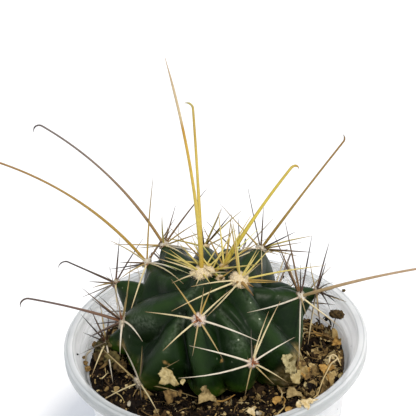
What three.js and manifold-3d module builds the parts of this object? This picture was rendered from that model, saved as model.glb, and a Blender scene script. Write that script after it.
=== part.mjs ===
// A small globe cactus with hooked spines in a thin plastic nursery pot.
// Millimetres, +Z up, the centre of the pot's base at the origin.
import * as THREE from "three";
import { mergeVertices } from "three/addons/utils/BufferGeometryUtils.js";
import Module from "manifold-3d";

// Pot
const POT_HEIGHT = 62;
const BASE_RADIUS = 25;
const SHOULDER_HEIGHT = 54;
const SHOULDER_RADIUS = 30.75;
const STEP_HEIGHT = 57.2;
const STEP_RADIUS = 31.8;
const LIP_RADIUS = 35;
const LIP_WIDTH = 2.2;
const SKIRT_DEPTH = 2.6;
const WALL = 0.8;
const FLOOR = 1.4;
const POT_SECTORS = 72;
const DRAIN_HOLES = 8;
const DRAIN_RING = 14;
const DRAIN_RADIUS = 2.5;

// Soil
const SOIL_LEVEL = 54.4;
const SOIL_LUMPS = 0.9;
const SOIL_SECTORS = 60;
const LEVEL_SOIL = [15, 21];
const UNEVEN_SOIL = [23, 25.5, 28];
const GAP = 0.35;

// Body: all reaches are measured from the heart of the globe
const HEART = new THREE.Vector3(0.5, 0.5, 62);
const FURROW_REACH = 14.5;
const FLANK_FALL = 0.36;
const FLANK_POWER = 1.65;
const FURROW_SHARPNESS = 2.2;
const BODY_DETAIL = 15;
const ROOT_RADIUS = 10.6;
const ROOT_TAPER = 1.5;
const ROOT_BOTTOM = 44;

// Wool and spines
const CUSHION_FLATNESS = 0.6;
const CUSHION_SINK = 0.3;
const BACK_WOOL = 1.4;
const RADIAL_WIDTH = 0.62;
const CENTRAL_WIDTH = 0.66;
const TIP_TAPER = 0.75;
const SPINE_ROOT = 1.4;
const CENTRAL_STEPS = 5;
const HOOK_STEPS = 3;
const HOOK_RADIUS = 1.5;
const WHEEL_SPINES = 9;
const WHEEL_LENGTH = 11;

// Ridge lines of the ribs, each from the crown outwards: azimuth, angle from the top, reach.
const RIDGES = [
  [[-110, 5, 17.3], [-131, 13, 17.7]],
  [[-19, 8, 17.5], [-10, 20, 17.4]],
  [[-94, 33, 18.4], [-104, 50, 20.4], [-99, 67, 21], [-98, 94, 20]],
  [[-85, 47, 19.2], [-77, 57, 20.4], [-71, 77, 22.1], [-70, 96, 19.5]],
  [[-124, 48, 19.2], [-128, 66, 21], [-148, 105, 22]],
  [[-125, 38, 18.5], [-143, 52, 20], [-173, 76, 22.1], [-178, 100, 20]],
  [[-155, 20, 17.6], [152, 40, 20.5], [145, 57, 22.3], [148, 80, 21]],
  [[159, 60, 20], [163, 68, 26], [165, 90, 22.5]],
  [[-46, 26, 18.2], [-55, 37, 18.9], [-59, 54, 20.4], [-55, 65, 21.3], [-48, 83, 22], [-45, 100, 20]],
  [[-17, 52, 19], [-8, 64, 22], [-14, 85, 21.5], [-18, 104, 20]],
  [[12, 60, 20.5], [9, 75, 24.8], [8, 95, 21.5]],
  [[15, 24, 18], [38, 40, 20.5], [47, 51, 21.7], [46, 75, 21.5]],
  [[104, 12, 17.6], [98, 44, 19.9], [99, 66, 21]],
  [[153, 23, 18], [138, 40, 21.5], [130, 49, 23.5], [128, 72, 21.5]],
  [[-178, 84, 21.5], [176, 97, 26.5]],
  [[72, 40, 19], [72, 72, 22.5], [72, 96, 21]],
  [[25, 78, 21], [27, 92, 22.8], [28, 105, 20.5]],
  [[112, 74, 21], [114, 88, 22.8], [115, 104, 20.5]],
  [[50, 92, 21], [50, 101, 22]],
  [[92, 92, 21.5], [93, 101, 22]],
  [[140, 84, 21], [142, 98, 22.5]],
].map((line) => line.map(([azimuth, polar, reach]) => ({ way: fromTop(azimuth, polar), reach })));

// Areoles: place as azimuth, angle from the top and reach; radius of the wool; straight radial
// spines as azimuth, elevation and length; curved central spines as first aim, last aim, length,
// angle of the hook and the direction it bends to, which is down where none is given.
const AREOLES = [
  {
    at: [-131, 13, 17.7],
    wool: 1.9,
    radials: [[52, 29, 9], [144, 15, 6], [-77, 13, 8], [-102, 8, 7], [170, 25, 9], [10, 40, 8]],
    centrals: [[85, 83, 141, 74, 48.5, 0], [88, 55, 92, 55, 37.4, 100, [-1, 0, 0]]],
  },
  {
    at: [-19, 8, 17.5],
    wool: 1.5,
    radials: [[70, 40, 9], [130, 50, 10], [-20, 45, 9], [95, 62, 12]],
    centrals: [[40, 44, 32, 38, 27, 110]],
  },
  {
    at: [-46, 26, 18.2],
    wool: 2.2,
    radials: [
      [2, 7, 19], [-141, 3, 19], [-119, 1, 15.5], [-142, 18, 14], [-9, 0, 9.5],
      [54, 22, 9], [-74, 6, 8.5], [97, 45, 14.5], [20, 40, 10],
    ],
  },
  {
    at: [-104, 50, 20.4],
    wool: 1.9,
    radials: [
      [174, 10, 11.5], [173, 10, 5], [138, 46, 10.5], [63, 62, 7], [37, 58, 7.5],
      [7, 42, 10], [-31, -5, 15], [-61, -25, 10.5], [-105, -36, 8], [-150, -25, 10],
    ],
  },
  {
    at: [-71, 77, 22.1],
    wool: 1.5,
    radials: [
      [-161, 32, 16], [-156, 8, 17], [22, 63, 15], [20, 71, 12.5], [-95, 87, 9],
      [12, 26, 10.5], [-5, -28, 9], [-12, -40, 7], [-119, -40, 7],
    ],
  },
  {
    at: [-148, 105, 22],
    wool: 1.4,
    radials: [
      [149, 35, 12.5], [-125, 72, 13.5], [-39, 79, 11.5], [-21, 39, 13.5], [-36, 9, 16.5],
      [-68, 0, 12.5], [-140, 5, 8],
    ],
  },
  {
    at: [-173, 76, 22.1],
    wool: 1.4,
    radials: [
      [106, 40, 13.5], [138, -38, 12], [-59, -1, 9.5], [-91, -9, 10.5], [42, 74, 14.5],
      [-64, 64, 13], [150, 10, 12],
    ],
    centrals: [[-169, 31, -165, 24, 22.5, 120]],
  },
  {
    at: [145, 57, 22.3],
    wool: 1.6,
    radials: [
      [-108, -26, 15.5], [-124, 29, 11.5], [-135, 18, 12], [138, -30, 12.5], [-49, -2, 13],
      [-41, 7, 13], [-135, 46, 15], [51, 32, 13], [66, 71, 20.5], [90, -20, 12],
    ],
    centrals: [[168, 56, -170, 24, 49, 110]],
  },
  {
    at: [163, 68, 26],
    wool: 1.3,
    radials: [
      [86, 28, 12.5], [61, 21, 14], [-116, 32, 12.5], [-114, 10, 12], [-85, -21, 8],
      [98, -40, 12], [160, 20, 11],
    ],
    centrals: [[-156, 40, -156, 40, 14, 110]],
  },
  {
    at: [130, 49, 23.5],
    wool: 1.6,
    radials: [
      [28, 43, 17], [45, -9, 14.5], [-37, 7, 8], [-46, 13, 9.5], [87, -8, 13],
      [-86, 64, 12], [130, -25, 12], [180, 5, 12],
    ],
    centrals: [[145, 56, 171, 33, 40.5, 130]],
  },
  {
    at: [98, 44, 19.9],
    wool: 1.6,
    radials: [
      [-27, 54, 12.5], [-40, 64, 13.5], [-9, 47, 13.5], [-95, 65, 13], [49, -5, 12.5],
      [150, 0, 12], [100, -30, 12],
    ],
  },
  {
    at: [47, 51, 21.7],
    wool: 1.7,
    radials: [
      [-43, 38, 13], [-29, 26, 14.5], [4, -10, 12.5], [-82, 72, 14], [176, 81, 16.5],
      [147, 42, 14.5], [-123, -2, 10], [-93, -13, 10.5], [60, -35, 12], [110, 0, 12],
    ],
    centrals: [[-11, 57, -11, 55, 34, 70, [-0.3, 0, 1]]],
  },
  {
    at: [-8, 64, 21.6],
    wool: 1.6,
    radials: [
      [111, 65, 17.5], [-95, 79, 9.5], [-144, 7, 16], [-98, -28, 16], [-90, 11, 12.5],
      [148, 66, 16], [41, -16, 12], [-30, -30, 11],
    ],
    centrals: [[-24, 29, -27, 20, 38, 110]],
  },
  {
    at: [9, 75, 24.8],
    wool: 1.4,
    radials: [
      [-56, 71, 10], [-65, 19, 10], [-106, -27, 14], [-68, 41, 10], [90, 3, 12.5],
      [60, 50, 12], [30, -35, 11],
    ],
  },
  {
    at: [176, 97, 26.5],
    wool: 1.2,
    radials: [[-81, -17, 10], [-107, -12, 11], [-115, 21, 12], [100, 30, 11], [-125, 45, 10]],
  },
];

// Areoles of the side that faces away: place, then length and elevation of the central spine.
const BACK_AREOLES = [
  [72, 72, 22.5, 10, 0],
  [27, 92, 22.8, 0, 0],
  [114, 88, 22.8, 12, 15],
  [50, 101, 22, 13, 40],
  [93, 101, 22, 13, 40],
  [142, 98, 22.5, 0, 0],
];

const wasm = await Module();
wasm.setup();

// A seeded source of numbers from 0 to 1.
function randomSource(seed) {
  let state = seed;
  return () => {
    state = (state * 1664525 + 1013904223) % 4294967296;
    return state / 4294967296;
  };
}

// Direction at an azimuth and an angle down from the top, both in degrees.
function fromTop(azimuth, polar) {
  const a = THREE.MathUtils.degToRad(azimuth);
  const p = THREE.MathUtils.degToRad(polar);
  return new THREE.Vector3(Math.sin(p) * Math.cos(a), Math.sin(p) * Math.sin(a), Math.cos(p));
}

// Direction at an azimuth and an elevation above the horizon, both in degrees.
function aim(azimuth, elevation) {
  return fromTop(azimuth, 90 - elevation);
}

function solid(geometry) {
  const bare = geometry.clone();
  bare.deleteAttribute("normal");
  bare.deleteAttribute("uv");
  const merged = mergeVertices(bare, 1e-4);
  return new wasm.Manifold(
    new wasm.Mesh({
      numProp: 3,
      vertProperties: new Float32Array(merged.attributes.position.array),
      triVerts: new Uint32Array(merged.index.array),
    }),
  );
}

function geometryOf(manifold) {
  const mesh = manifold.getMesh();
  const geometry = new THREE.BufferGeometry();
  geometry.setAttribute("position", new THREE.BufferAttribute(mesh.vertProperties, 3));
  geometry.setIndex(new THREE.BufferAttribute(mesh.triVerts, 1));
  return geometry;
}

function named(name, geometry, color, roughness) {
  geometry.computeVertexNormals();
  const material = new THREE.MeshStandardMaterial({ color, roughness, metalness: 0 });
  const mesh = new THREE.Mesh(geometry, material);
  mesh.name = name;
  return mesh;
}

// A level ring of points; lift gives what each point stands above z.
function ring(radius, z, sectors, lift = () => 0) {
  return Array.from({ length: sectors }, (_, i) => {
    const turn = (2 * Math.PI * i) / sectors;
    return new THREE.Vector3(radius * Math.cos(turn), radius * Math.sin(turn), z + lift());
  });
}

// A closed skin over rings of points, with one point at each end.
function skin(start, rings, end) {
  const across = rings[0].length;
  const points = [start, ...rings.flat(), end];
  const last = points.length - 1;
  const lastRing = last - across;
  const faces = [];
  for (let j = 0; j < across; j += 1) {
    const k = (j + 1) % across;
    faces.push(0, 1 + j, 1 + k);
    for (let a = 1; a < lastRing; a += across) {
      const b = a + across;
      faces.push(a + j, b + j, b + k, a + j, b + k, a + k);
    }
    faces.push(lastRing + j, last, lastRing + k);
  }
  const geometry = new THREE.BufferGeometry().setFromPoints(points);
  geometry.setIndex(faces);
  return geometry;
}

// Outer radius of the pot's straight wall.
function potRadius(z) {
  return BASE_RADIUS + ((SHOULDER_RADIUS - BASE_RADIUS) * z) / SHOULDER_HEIGHT;
}

// A turned pot with a step, a rolled lip with a short skirt and a ring of drain holes.
function makePot() {
  const top = POT_HEIGHT;
  const lipInside = LIP_RADIUS - LIP_WIDTH;
  const skirtInside = LIP_RADIUS - WALL;
  const profile = [
    [0, 0],
    [BASE_RADIUS - 0.8, 0],
    [BASE_RADIUS, 0.8],
    [SHOULDER_RADIUS, SHOULDER_HEIGHT],
    [STEP_RADIUS, STEP_HEIGHT],
    [lipInside + 0.3, top - 1.6],
    [skirtInside, top - 1.4],
    [skirtInside, top - SKIRT_DEPTH],
    [LIP_RADIUS, top - SKIRT_DEPTH],
    [LIP_RADIUS, top - 0.5],
    [LIP_RADIUS - 0.4, top],
    [lipInside, top],
    [lipInside - 0.5, top - 0.5],
    [STEP_RADIUS - WALL, STEP_HEIGHT + 0.3],
    [SHOULDER_RADIUS - WALL, SHOULDER_HEIGHT],
    [potRadius(FLOOR) - WALL, FLOOR],
    [0, FLOOR],
  ].map(([r, z]) => new THREE.Vector2(r, z));
  let pot = solid(new THREE.LatheGeometry(profile, POT_SECTORS).rotateX(Math.PI / 2));
  for (const centre of ring(DRAIN_RING, FLOOR / 2, DRAIN_HOLES)) {
    const hole = new THREE.CylinderGeometry(DRAIN_RADIUS, DRAIN_RADIUS, 4 * FLOOR, 20);
    hole.rotateX(Math.PI / 2).translate(centre.x, centre.y, centre.z);
    pot = pot.subtract(solid(hole));
  }
  return named("pot", geometryOf(pot), 0xe6e8ea, 0.45);
}

// The soil fills the pot to an uneven top and leaves a plain round hole for the root.
function makeSoil() {
  const random = randomSource(71);
  const lump = () => SOIL_LUMPS * (random() - 0.35);
  const holeRadius = ROOT_RADIUS + GAP;
  const holeFloor = ROOT_BOTTOM - GAP;
  const bottom = FLOOR + GAP;
  const side = (z) => potRadius(z) - WALL - GAP;
  const rings = [
    ring(holeRadius, holeFloor, SOIL_SECTORS),
    ring(holeRadius, SOIL_LEVEL, SOIL_SECTORS),
    ...LEVEL_SOIL.map((radius) => ring(radius, SOIL_LEVEL, SOIL_SECTORS)),
    ...UNEVEN_SOIL.map((radius) => ring(radius, SOIL_LEVEL, SOIL_SECTORS, lump)),
    ring(side(SOIL_LEVEL) - 0.6, SOIL_LEVEL + 0.2, SOIL_SECTORS),
    ring(side(SOIL_LEVEL - 1), SOIL_LEVEL - 1, SOIL_SECTORS),
    ring(side(bottom), bottom, SOIL_SECTORS),
  ];
  const start = new THREE.Vector3(0, 0, holeFloor);
  const end = new THREE.Vector3(0, 0, bottom);
  return named("soil", skin(start, rings, end), 0x3a2a1c, 0.95);
}

// Height of one ridge line over a direction: a dome that falls off ever more steeply.
function dome(line, way) {
  let best = 0;
  for (let i = 0; i + 1 < line.length; i += 1) {
    const from = line[i];
    const along = line[i + 1].way.clone().sub(from.way);
    const share = way.clone().sub(from.way).dot(along) / along.lengthSq();
    const t = THREE.MathUtils.clamp(share, 0, 1);
    const reach = THREE.MathUtils.lerp(from.reach, line[i + 1].reach, t);
    const away = reach * way.distanceTo(from.way.clone().addScaledVector(along, t));
    best = Math.max(best, reach - FLANK_FALL * away ** FLANK_POWER);
  }
  return best;
}

// Reach of the ribbed skin in a direction: the domes meet in sharp furrows.
function reachOf(way) {
  const reaches = [FURROW_REACH, ...RIDGES.map((line) => dome(line, way))];
  const highest = Math.max(...reaches);
  let sum = 0;
  for (const reach of reaches) sum += Math.exp(FURROW_SHARPNESS * (reach - highest));
  return highest + Math.log(sum) / FURROW_SHARPNESS;
}

// The ribbed globe round its heart, cut off flat just above the soil, with a plain root below.
function makeBody() {
  const globe = new THREE.IcosahedronGeometry(1, BODY_DETAIL);
  const points = globe.attributes.position;
  for (let i = 0; i < points.count; i += 1) {
    const way = new THREE.Vector3().fromBufferAttribute(points, i).normalize();
    way.multiplyScalar(reachOf(way));
    points.setXYZ(i, way.x, way.y, way.z);
  }
  const underside = SOIL_LEVEL + GAP - HEART.z;
  const rootTop = underside + 2;
  const rootEnd = ROOT_BOTTOM - HEART.z;
  const root = new THREE.CylinderGeometry(
    ROOT_RADIUS, ROOT_RADIUS - ROOT_TAPER, rootTop - rootEnd, 40);
  root.rotateX(Math.PI / 2).translate(-HEART.x, -HEART.y, (rootTop + rootEnd) / 2);
  return solid(globe).trimByPlane([0, 0, 1], underside).add(solid(root));
}

// A tapered three-sided needle along a path of points.
function needle(path, width) {
  const spans = path.length - 1;
  const side = new THREE.Vector3(0, 0, 1).cross(path[1].clone().sub(path[0]));
  const rings = path.slice(0, -1).map((point, i) => {
    const along = path[i + 1].clone().sub(point).normalize();
    side.addScaledVector(along, -side.dot(along)).normalize();
    const up = side.clone().cross(along);
    const radius = (width / 2) * (1 - (TIP_TAPER * i) / spans);
    return ring(radius, 0, 3).map(
      ({ x, y }) => point.clone().addScaledVector(side, x).addScaledVector(up, y));
  });
  return solid(skin(path[0], rings, path[spans]));
}

// A straight radial spine, rooted below the wool.
function radial(site, way, length) {
  const root = site.clone().addScaledVector(way, -SPINE_ROOT);
  return needle([root, site.clone().addScaledVector(way, length)], RADIAL_WIDTH);
}

// A central spine: it swings from its first aim to its last, then the tip hooks over.
function central(site, row) {
  const [azimuth1, elevation1, azimuth2, elevation2, length, hook, towards = [0, 0, -1]] = row;
  const first = aim(azimuth1, elevation1);
  const swing = new THREE.Quaternion().setFromUnitVectors(first, aim(azimuth2, elevation2));
  const path = [site.clone().addScaledVector(first, -SPINE_ROOT), site];
  const way = new THREE.Vector3();
  const grow = (distance) => path.push(path.at(-1).clone().addScaledVector(way, distance));
  for (let i = 0; i < CENTRAL_STEPS; i += 1) {
    const turn = new THREE.Quaternion().slerp(swing, (i + 0.5) / CENTRAL_STEPS);
    way.copy(first).applyQuaternion(turn);
    grow(length / CENTRAL_STEPS);
  }
  const axis = way.clone().cross(new THREE.Vector3(...towards)).normalize();
  const bend = THREE.MathUtils.degToRad(hook) / HOOK_STEPS;
  for (let i = 0; hook > 0 && i < HOOK_STEPS; i += 1) {
    way.applyAxisAngle(axis, bend);
    grow(HOOK_RADIUS * bend);
  }
  return needle(path, CENTRAL_WIDTH);
}

// Radials in a wheel round an areole, every second one more upright, none down into the soil.
function wheel(site, out, turn) {
  const rise = new THREE.Vector3(0, 0, 1).addScaledVector(out, -out.z).normalize();
  const side = rise.clone().cross(out);
  const lowest = SOIL_LEVEL + SOIL_LUMPS - HEART.z;
  const spines = [];
  for (let i = 0; i < WHEEL_SPINES; i += 1) {
    const clock = THREE.MathUtils.degToRad(turn + (360 * i) / WHEEL_SPINES);
    const length = WHEEL_LENGTH + 1.5 * (i % 3);
    const way = out.clone().multiplyScalar(i % 2 ? 0.2 : 0.35);
    way.addScaledVector(rise, Math.cos(clock)).addScaledVector(side, Math.sin(clock)).normalize();
    if (site.z + length * way.z > lowest) spines.push(radial(site, way, length));
  }
  return spines;
}

// A flattened tuft of wool.
function cushion(site, out, radius) {
  const geometry = new THREE.OctahedronGeometry(radius, 1).scale(1, 1, CUSHION_FLATNESS);
  const turn = new THREE.Quaternion().setFromUnitVectors(new THREE.Vector3(0, 0, 1), out);
  const centre = site.clone().addScaledVector(out, -CUSHION_SINK);
  return solid(geometry.applyQuaternion(turn).translate(centre.x, centre.y, centre.z));
}

// The whole plant as one skin.
function makeCactus() {
  const pieces = [makeBody()];
  for (const { at, wool, radials, centrals = [] } of AREOLES) {
    const out = fromTop(at[0], at[1]);
    const site = out.clone().multiplyScalar(at[2]);
    pieces.push(cushion(site, out, wool));
    for (const [azimuth, elevation, length] of radials) {
      pieces.push(radial(site, aim(azimuth, elevation), length));
    }
    for (const row of centrals) pieces.push(central(site, row));
  }
  BACK_AREOLES.forEach(([azimuth, polar, reach, length, elevation], i) => {
    const out = fromTop(azimuth, polar);
    const site = out.clone().multiplyScalar(reach);
    pieces.push(cushion(site, out, BACK_WOOL), ...wheel(site, out, 13 * i));
    if (length > 0) {
      pieces.push(central(site, [azimuth, elevation, azimuth + 12, elevation - 5, length, 120]));
    }
  });
  const plant = wasm.Manifold.union(pieces).simplify(0.03).translate(HEART.toArray());
  return named("cactus", geometryOf(plant), 0x2c4a30, 0.5);
}

const root = new THREE.Group();
root.name = "potted_cactus";
root.add(makePot(), makeSoil(), makeCactus());

export default root;
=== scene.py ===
# A small globe cactus in a thin plastic nursery pot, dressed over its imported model
import math
import random
import bmesh
import bpy
import numpy as np
from mathutils import Matrix, Quaternion, Vector, noise


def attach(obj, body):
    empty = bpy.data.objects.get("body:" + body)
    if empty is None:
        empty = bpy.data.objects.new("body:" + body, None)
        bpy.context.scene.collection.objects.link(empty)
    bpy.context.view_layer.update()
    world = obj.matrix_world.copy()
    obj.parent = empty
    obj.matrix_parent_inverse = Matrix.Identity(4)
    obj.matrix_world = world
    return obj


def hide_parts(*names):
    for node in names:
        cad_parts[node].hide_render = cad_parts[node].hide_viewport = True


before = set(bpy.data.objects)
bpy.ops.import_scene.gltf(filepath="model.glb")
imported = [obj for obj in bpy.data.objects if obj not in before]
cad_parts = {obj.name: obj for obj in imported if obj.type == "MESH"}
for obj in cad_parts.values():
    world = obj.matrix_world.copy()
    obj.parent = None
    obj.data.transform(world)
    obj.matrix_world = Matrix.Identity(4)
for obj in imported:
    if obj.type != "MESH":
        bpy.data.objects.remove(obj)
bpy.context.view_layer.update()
print("stage: frame loaded")

mm = 0.001  # every size below is in millimetres until it becomes a mesh


# Colours are written as web codes and turned linear here
def tint(code):
    parts = [int(code[i:i + 2], 16) / 255 for i in (0, 2, 4)]
    return tuple(c / 12.92 if c <= 0.04045 else ((c + 0.055) / 1.055) ** 2.4 for c in parts)


def opaque(code):
    return (*tint(code), 1.0)


def clamped(value):
    return min(1.0, max(0.0, value))


def between(a, b, share):
    return tuple(p + (q - p) * share for p, q in zip(a, b))


def blendTones(stops, t):
    # colour at t along a list of (place, code)
    for (t0, a), (t1, b) in zip(stops, stops[1:]):
        if t <= t1:
            return between(tint(a), tint(b), (t - t0) / (t1 - t0))
    return tint(stops[-1][1])


# Node trees: sockets are found by identifier first, then by name
def socketOf(sockets, key):
    if isinstance(key, int):
        return sockets[key]
    for socket in sockets:
        if socket.identifier == key:
            return socket
    return sockets[key]


def plug(tree, node, inputs):
    # a socket given as a value is linked, anything else is set
    for key, value in inputs.items():
        socket = socketOf(node.inputs, key)
        if isinstance(value, bpy.types.NodeSocket):
            tree.links.new(value, socket)
        else:
            socket.default_value = value


def addNode(tree, kind, inputs=None, **settings):
    node = tree.nodes.new(kind)
    for name, value in settings.items():
        setattr(node, name, value)
    plug(tree, node, inputs or {})
    return node


def maths(tree, operation, *values):
    inputs = dict(zip(("Value", "Value_001", "Value_002"), values))
    return addNode(tree, "ShaderNodeMath", inputs, operation=operation).outputs[0]


def vectorMaths(tree, operation, a, b=None, scale=None):
    inputs = {"Vector": a}
    if b is not None:
        inputs["Vector_001"] = b
    if scale is not None:
        inputs["Scale"] = scale
    output = "Value" if operation in ("LENGTH", "DOT_PRODUCT") else "Vector"
    return addNode(tree, "ShaderNodeVectorMath", inputs, operation=operation).outputs[output]


def flattened(tree, place):
    return vectorMaths(tree, "MULTIPLY", place, (1.0, 1.0, 0.0))


def randomFloat(tree, low, high, seed):
    inputs = {"Min_001": low, "Max_001": high, "Seed": seed}
    node = addNode(tree, "FunctionNodeRandomValue", inputs, data_type="FLOAT")
    return socketOf(node.outputs, "Value_001")


def turnedBy(tree, rotation, low, high, seed):
    # a rotation with a random lean added, between two sets of angles
    inputs = {"Min": low, "Max": high, "Seed": seed}
    lean = addNode(tree, "FunctionNodeRandomValue", inputs, data_type="FLOAT_VECTOR").outputs[0]
    turn = addNode(tree, "FunctionNodeEulerToRotation", {0: lean}).outputs[0]
    inputs = {"Rotation": rotation, "Rotate By": turn}
    return addNode(tree, "FunctionNodeRotateRotation", inputs, rotation_space="LOCAL").outputs[0]


def mixColour(tree, share, a, b, way="MIX"):
    inputs = {"Factor_Float": share, "A_Color": a, "B_Color": b}
    node = addNode(tree, "ShaderNodeMix", inputs, data_type="RGBA", blend_type=way)
    return socketOf(node.outputs, "Result_Color")


def tinted(tree, colour, mask, share, code, way="MIX"):
    # lays a colour over another where a mask says, to a share of it
    return mixColour(tree, maths(tree, "MULTIPLY", mask, share), colour, opaque(code), way)


def mapped(tree, value, low, high, toLow=0.0, toHigh=1.0):
    inputs = {"Value": value, "From Min": low, "From Max": high, "To Min": toLow, "To Max": toHigh}
    return addNode(tree, "ShaderNodeMapRange", inputs, clamp=True).outputs[0]


def ramp(tree, value, stops):
    node = addNode(tree, "ShaderNodeValToRGB", {"Fac": value})
    points = node.color_ramp.elements
    while len(points) < len(stops):
        points.new(0.5)
    for point, (place, code) in zip(points, stops):
        point.position = place
        point.color = opaque(code)
    return node.outputs[0]


# A geometry tree starts with named inputs and ends realised, in its material
def startTree(name, sizes):
    tree = bpy.data.node_groups.new(name, "GeometryNodeTree")
    tree.interface.new_socket("Geometry", in_out="INPUT", socket_type="NodeSocketGeometry")
    for label, kind, value in sizes:
        socket = tree.interface.new_socket(label, in_out="INPUT", socket_type="NodeSocket" + kind)
        socket.default_value = value
    tree.interface.new_socket("Material", in_out="INPUT", socket_type="NodeSocketMaterial")
    tree.interface.new_socket("Geometry", in_out="OUTPUT", socket_type="NodeSocketGeometry")
    return tree, addNode(tree, "NodeGroupInput").outputs


def endTree(tree, given, geometry, smooth=True):
    inputs = {"Geometry": geometry, "Shade Smooth": smooth}
    shaded = addNode(tree, "GeometryNodeSetShadeSmooth", inputs).outputs[0]
    real = addNode(tree, "GeometryNodeRealizeInstances", {"Geometry": shaded}).outputs[0]
    inputs = {"Geometry": real, "Material": given["Material"]}
    dressed = addNode(tree, "GeometryNodeSetMaterial", inputs).outputs[0]
    addNode(tree, "NodeGroupOutput", {"Geometry": dressed})


def positionOf(tree):
    return addNode(tree, "GeometryNodeInputPosition").outputs[0]


def named(tree, name):
    inputs = {"Name": name}
    return addNode(tree, "GeometryNodeInputNamedAttribute", inputs, data_type="FLOAT").outputs[0]


def joined(tree, x, y, z):
    return addNode(tree, "ShaderNodeCombineXYZ", {"X": x, "Y": y, "Z": z}).outputs[0]


def moved(tree, geometry, way, amount):
    # way is Position for a new place or Offset for a shift
    return addNode(tree, "GeometryNodeSetPosition", {"Geometry": geometry, way: amount}).outputs[0]


def tube(tree, line, sides, width):
    ring = addNode(tree, "GeometryNodeCurvePrimitiveCircle", {"Resolution": sides, "Radius": 1.0})
    inputs = {"Curve": line, "Profile Curve": ring.outputs[0], "Scale": width, "Fill Caps": True}
    return addNode(tree, "GeometryNodeCurveToMesh", inputs).outputs[0]


def bentLine(tree, points, start, middle, end):
    inputs = {"Resolution": points, "Start": start, "Middle": middle, "End": end}
    return addNode(tree, "GeometryNodeCurveQuadraticBezier", inputs).outputs[0]


def scattered(tree, given, density):
    # random points on the faces of the mesh that the tree was given
    inputs = {"Mesh": given["Geometry"], "Density": density, "Seed": given["Seed"]}
    return addNode(tree, "GeometryNodeDistributePointsOnFaces", inputs).outputs


def copiesOn(tree, points, instance, rotation, scale):
    inputs = {"Points": points, "Instance": instance, "Rotation": rotation, "Scale": scale}
    return addNode(tree, "GeometryNodeInstanceOnPoints", inputs).outputs[0]


def link(piece):
    bpy.context.scene.collection.objects.link(piece)
    return piece


def applied(piece, modifier):
    # bakes the modifier into the piece's mesh and takes it off
    grown = piece.evaluated_get(bpy.context.evaluated_depsgraph_get())
    made = bpy.data.meshes.new_from_object(grown)
    piece.modifiers.remove(modifier)
    piece.data = made
    return made


# Runs a tree on a mesh and keeps the result as a plain piece
def grow(name, seedMesh, tree, material, values=None):
    piece = link(bpy.data.objects.new(name, seedMesh))
    modifier = piece.modifiers.new("grow", "NODES")
    modifier.node_group = tree
    wanted = {**(values or {}), "Material": material}
    for item in tree.interface.items_tree:
        if item.in_out == "INPUT" and item.name in wanted:
            modifier[item.identifier] = wanted[item.name]
    made = applied(piece, modifier)
    made.name = name
    print(f"  {name}: {len(made.polygons)} faces")
    return piece


def meshFrom(name, points, faces, edges=()):
    mesh = bpy.data.meshes.new(name)
    mesh.from_pydata([tuple(c * mm for c in p) for p in points], edges, faces)
    mesh.validate()
    return mesh


def meshOf(name, shape):
    # a mesh from a finished bmesh
    mesh = bpy.data.meshes.new(name)
    shape.to_mesh(mesh)
    shape.free()
    return mesh


def addPiece(name, mesh, material):
    mesh.materials.append(material)
    mesh.polygons.foreach_set("use_smooth", [True] * len(mesh.polygons))
    return link(bpy.data.objects.new(name, mesh))


def newMaterial(name):
    material = bpy.data.materials.new(name)
    material.use_nodes = True
    tree = material.node_tree
    return material, tree, tree.nodes["Principled BSDF"]


def storeFloats(mesh, name, values):
    layer = mesh.attributes.new(name, "FLOAT", "POINT")
    layer.data.foreach_set("value", np.asarray(values, dtype=np.float32))


def withTones(mesh, colours):
    layer = mesh.attributes.new("tone", "FLOAT_COLOR", "POINT")
    layer.data.foreach_set("color", np.array([(*c, 1.0) for c in colours], dtype=np.float32).ravel())
    return mesh


def settle(piece, slot, *nodes):
    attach(piece, "root")
    if nodes:
        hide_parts(*nodes)


def fromTop(azimuth, polar):
    a, p = math.radians(azimuth), math.radians(polar)
    return Vector((math.sin(p) * math.cos(a), math.sin(p) * math.sin(a), math.cos(p)))


def aim(azimuth, elevation):
    return fromTop(azimuth, 90 - elevation)


# Camera: where the photograph was taken from
view = {
    "place": (0, -180.8, 187.4),
    "tilt": (62.65, 2.85, -1.48),  # degrees about X, Y and Z
    "lens": 81.35,
}


def makeCamera():
    lens = bpy.data.cameras.new("camera")
    lens.lens = view["lens"]
    lens.sensor_width = 36
    lens.clip_start = 0.01
    camera = link(bpy.data.objects.new("camera", lens))
    camera.location = Vector(view["place"]) * mm
    camera.rotation_euler = [math.radians(turn) for turn in view["tilt"]]
    bpy.context.scene.camera = camera


# Light: one soft window from the front right and a bright pale room
light = {
    "keyAzimuth": -60,
    "keyElevation": 55,
    "keyStrength": 2.4,
    "keySpread": 11,  # degrees across
    "keyColour": "fff8ee",
    "roomColour": "f0f5ff",
    "roomStrength": 0.72,
    "floorColour": "fafafa",
    "floorRoughness": 0.9,
    "floorReach": 3000,
}


def makeStage():
    lamp = bpy.data.lights.new("window", "SUN")
    lamp.energy = light["keyStrength"]
    lamp.angle = math.radians(light["keySpread"])
    lamp.color = tint(light["keyColour"])
    window = link(bpy.data.objects.new("window", lamp))
    way = aim(light["keyAzimuth"], light["keyElevation"])
    window.rotation_euler = way.to_track_quat("Z", "Y").to_euler()
    world = bpy.data.worlds.new("room")
    bpy.context.scene.world = world
    world.use_nodes = True
    sky = world.node_tree.nodes["Background"]
    sky.inputs["Color"].default_value = opaque(light["roomColour"])
    sky.inputs["Strength"].default_value = light["roomStrength"]
    bpy.context.scene.view_settings.view_transform = "Standard"
    paper, tree, paint = newMaterial("paper")
    plug(tree, paint, {
        "Base Color": opaque(light["floorColour"]), "Roughness": light["floorRoughness"]})
    side = light["floorReach"]
    corners = [(-side, -side, 0), (side, -side, 0), (side, side, 0), (-side, side, 0)]
    floor = addPiece("floor", meshFrom("floor", corners, [(0, 1, 2, 3)]), paper)


makeCamera()
makeStage()
print("stage: camera and light")


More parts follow.
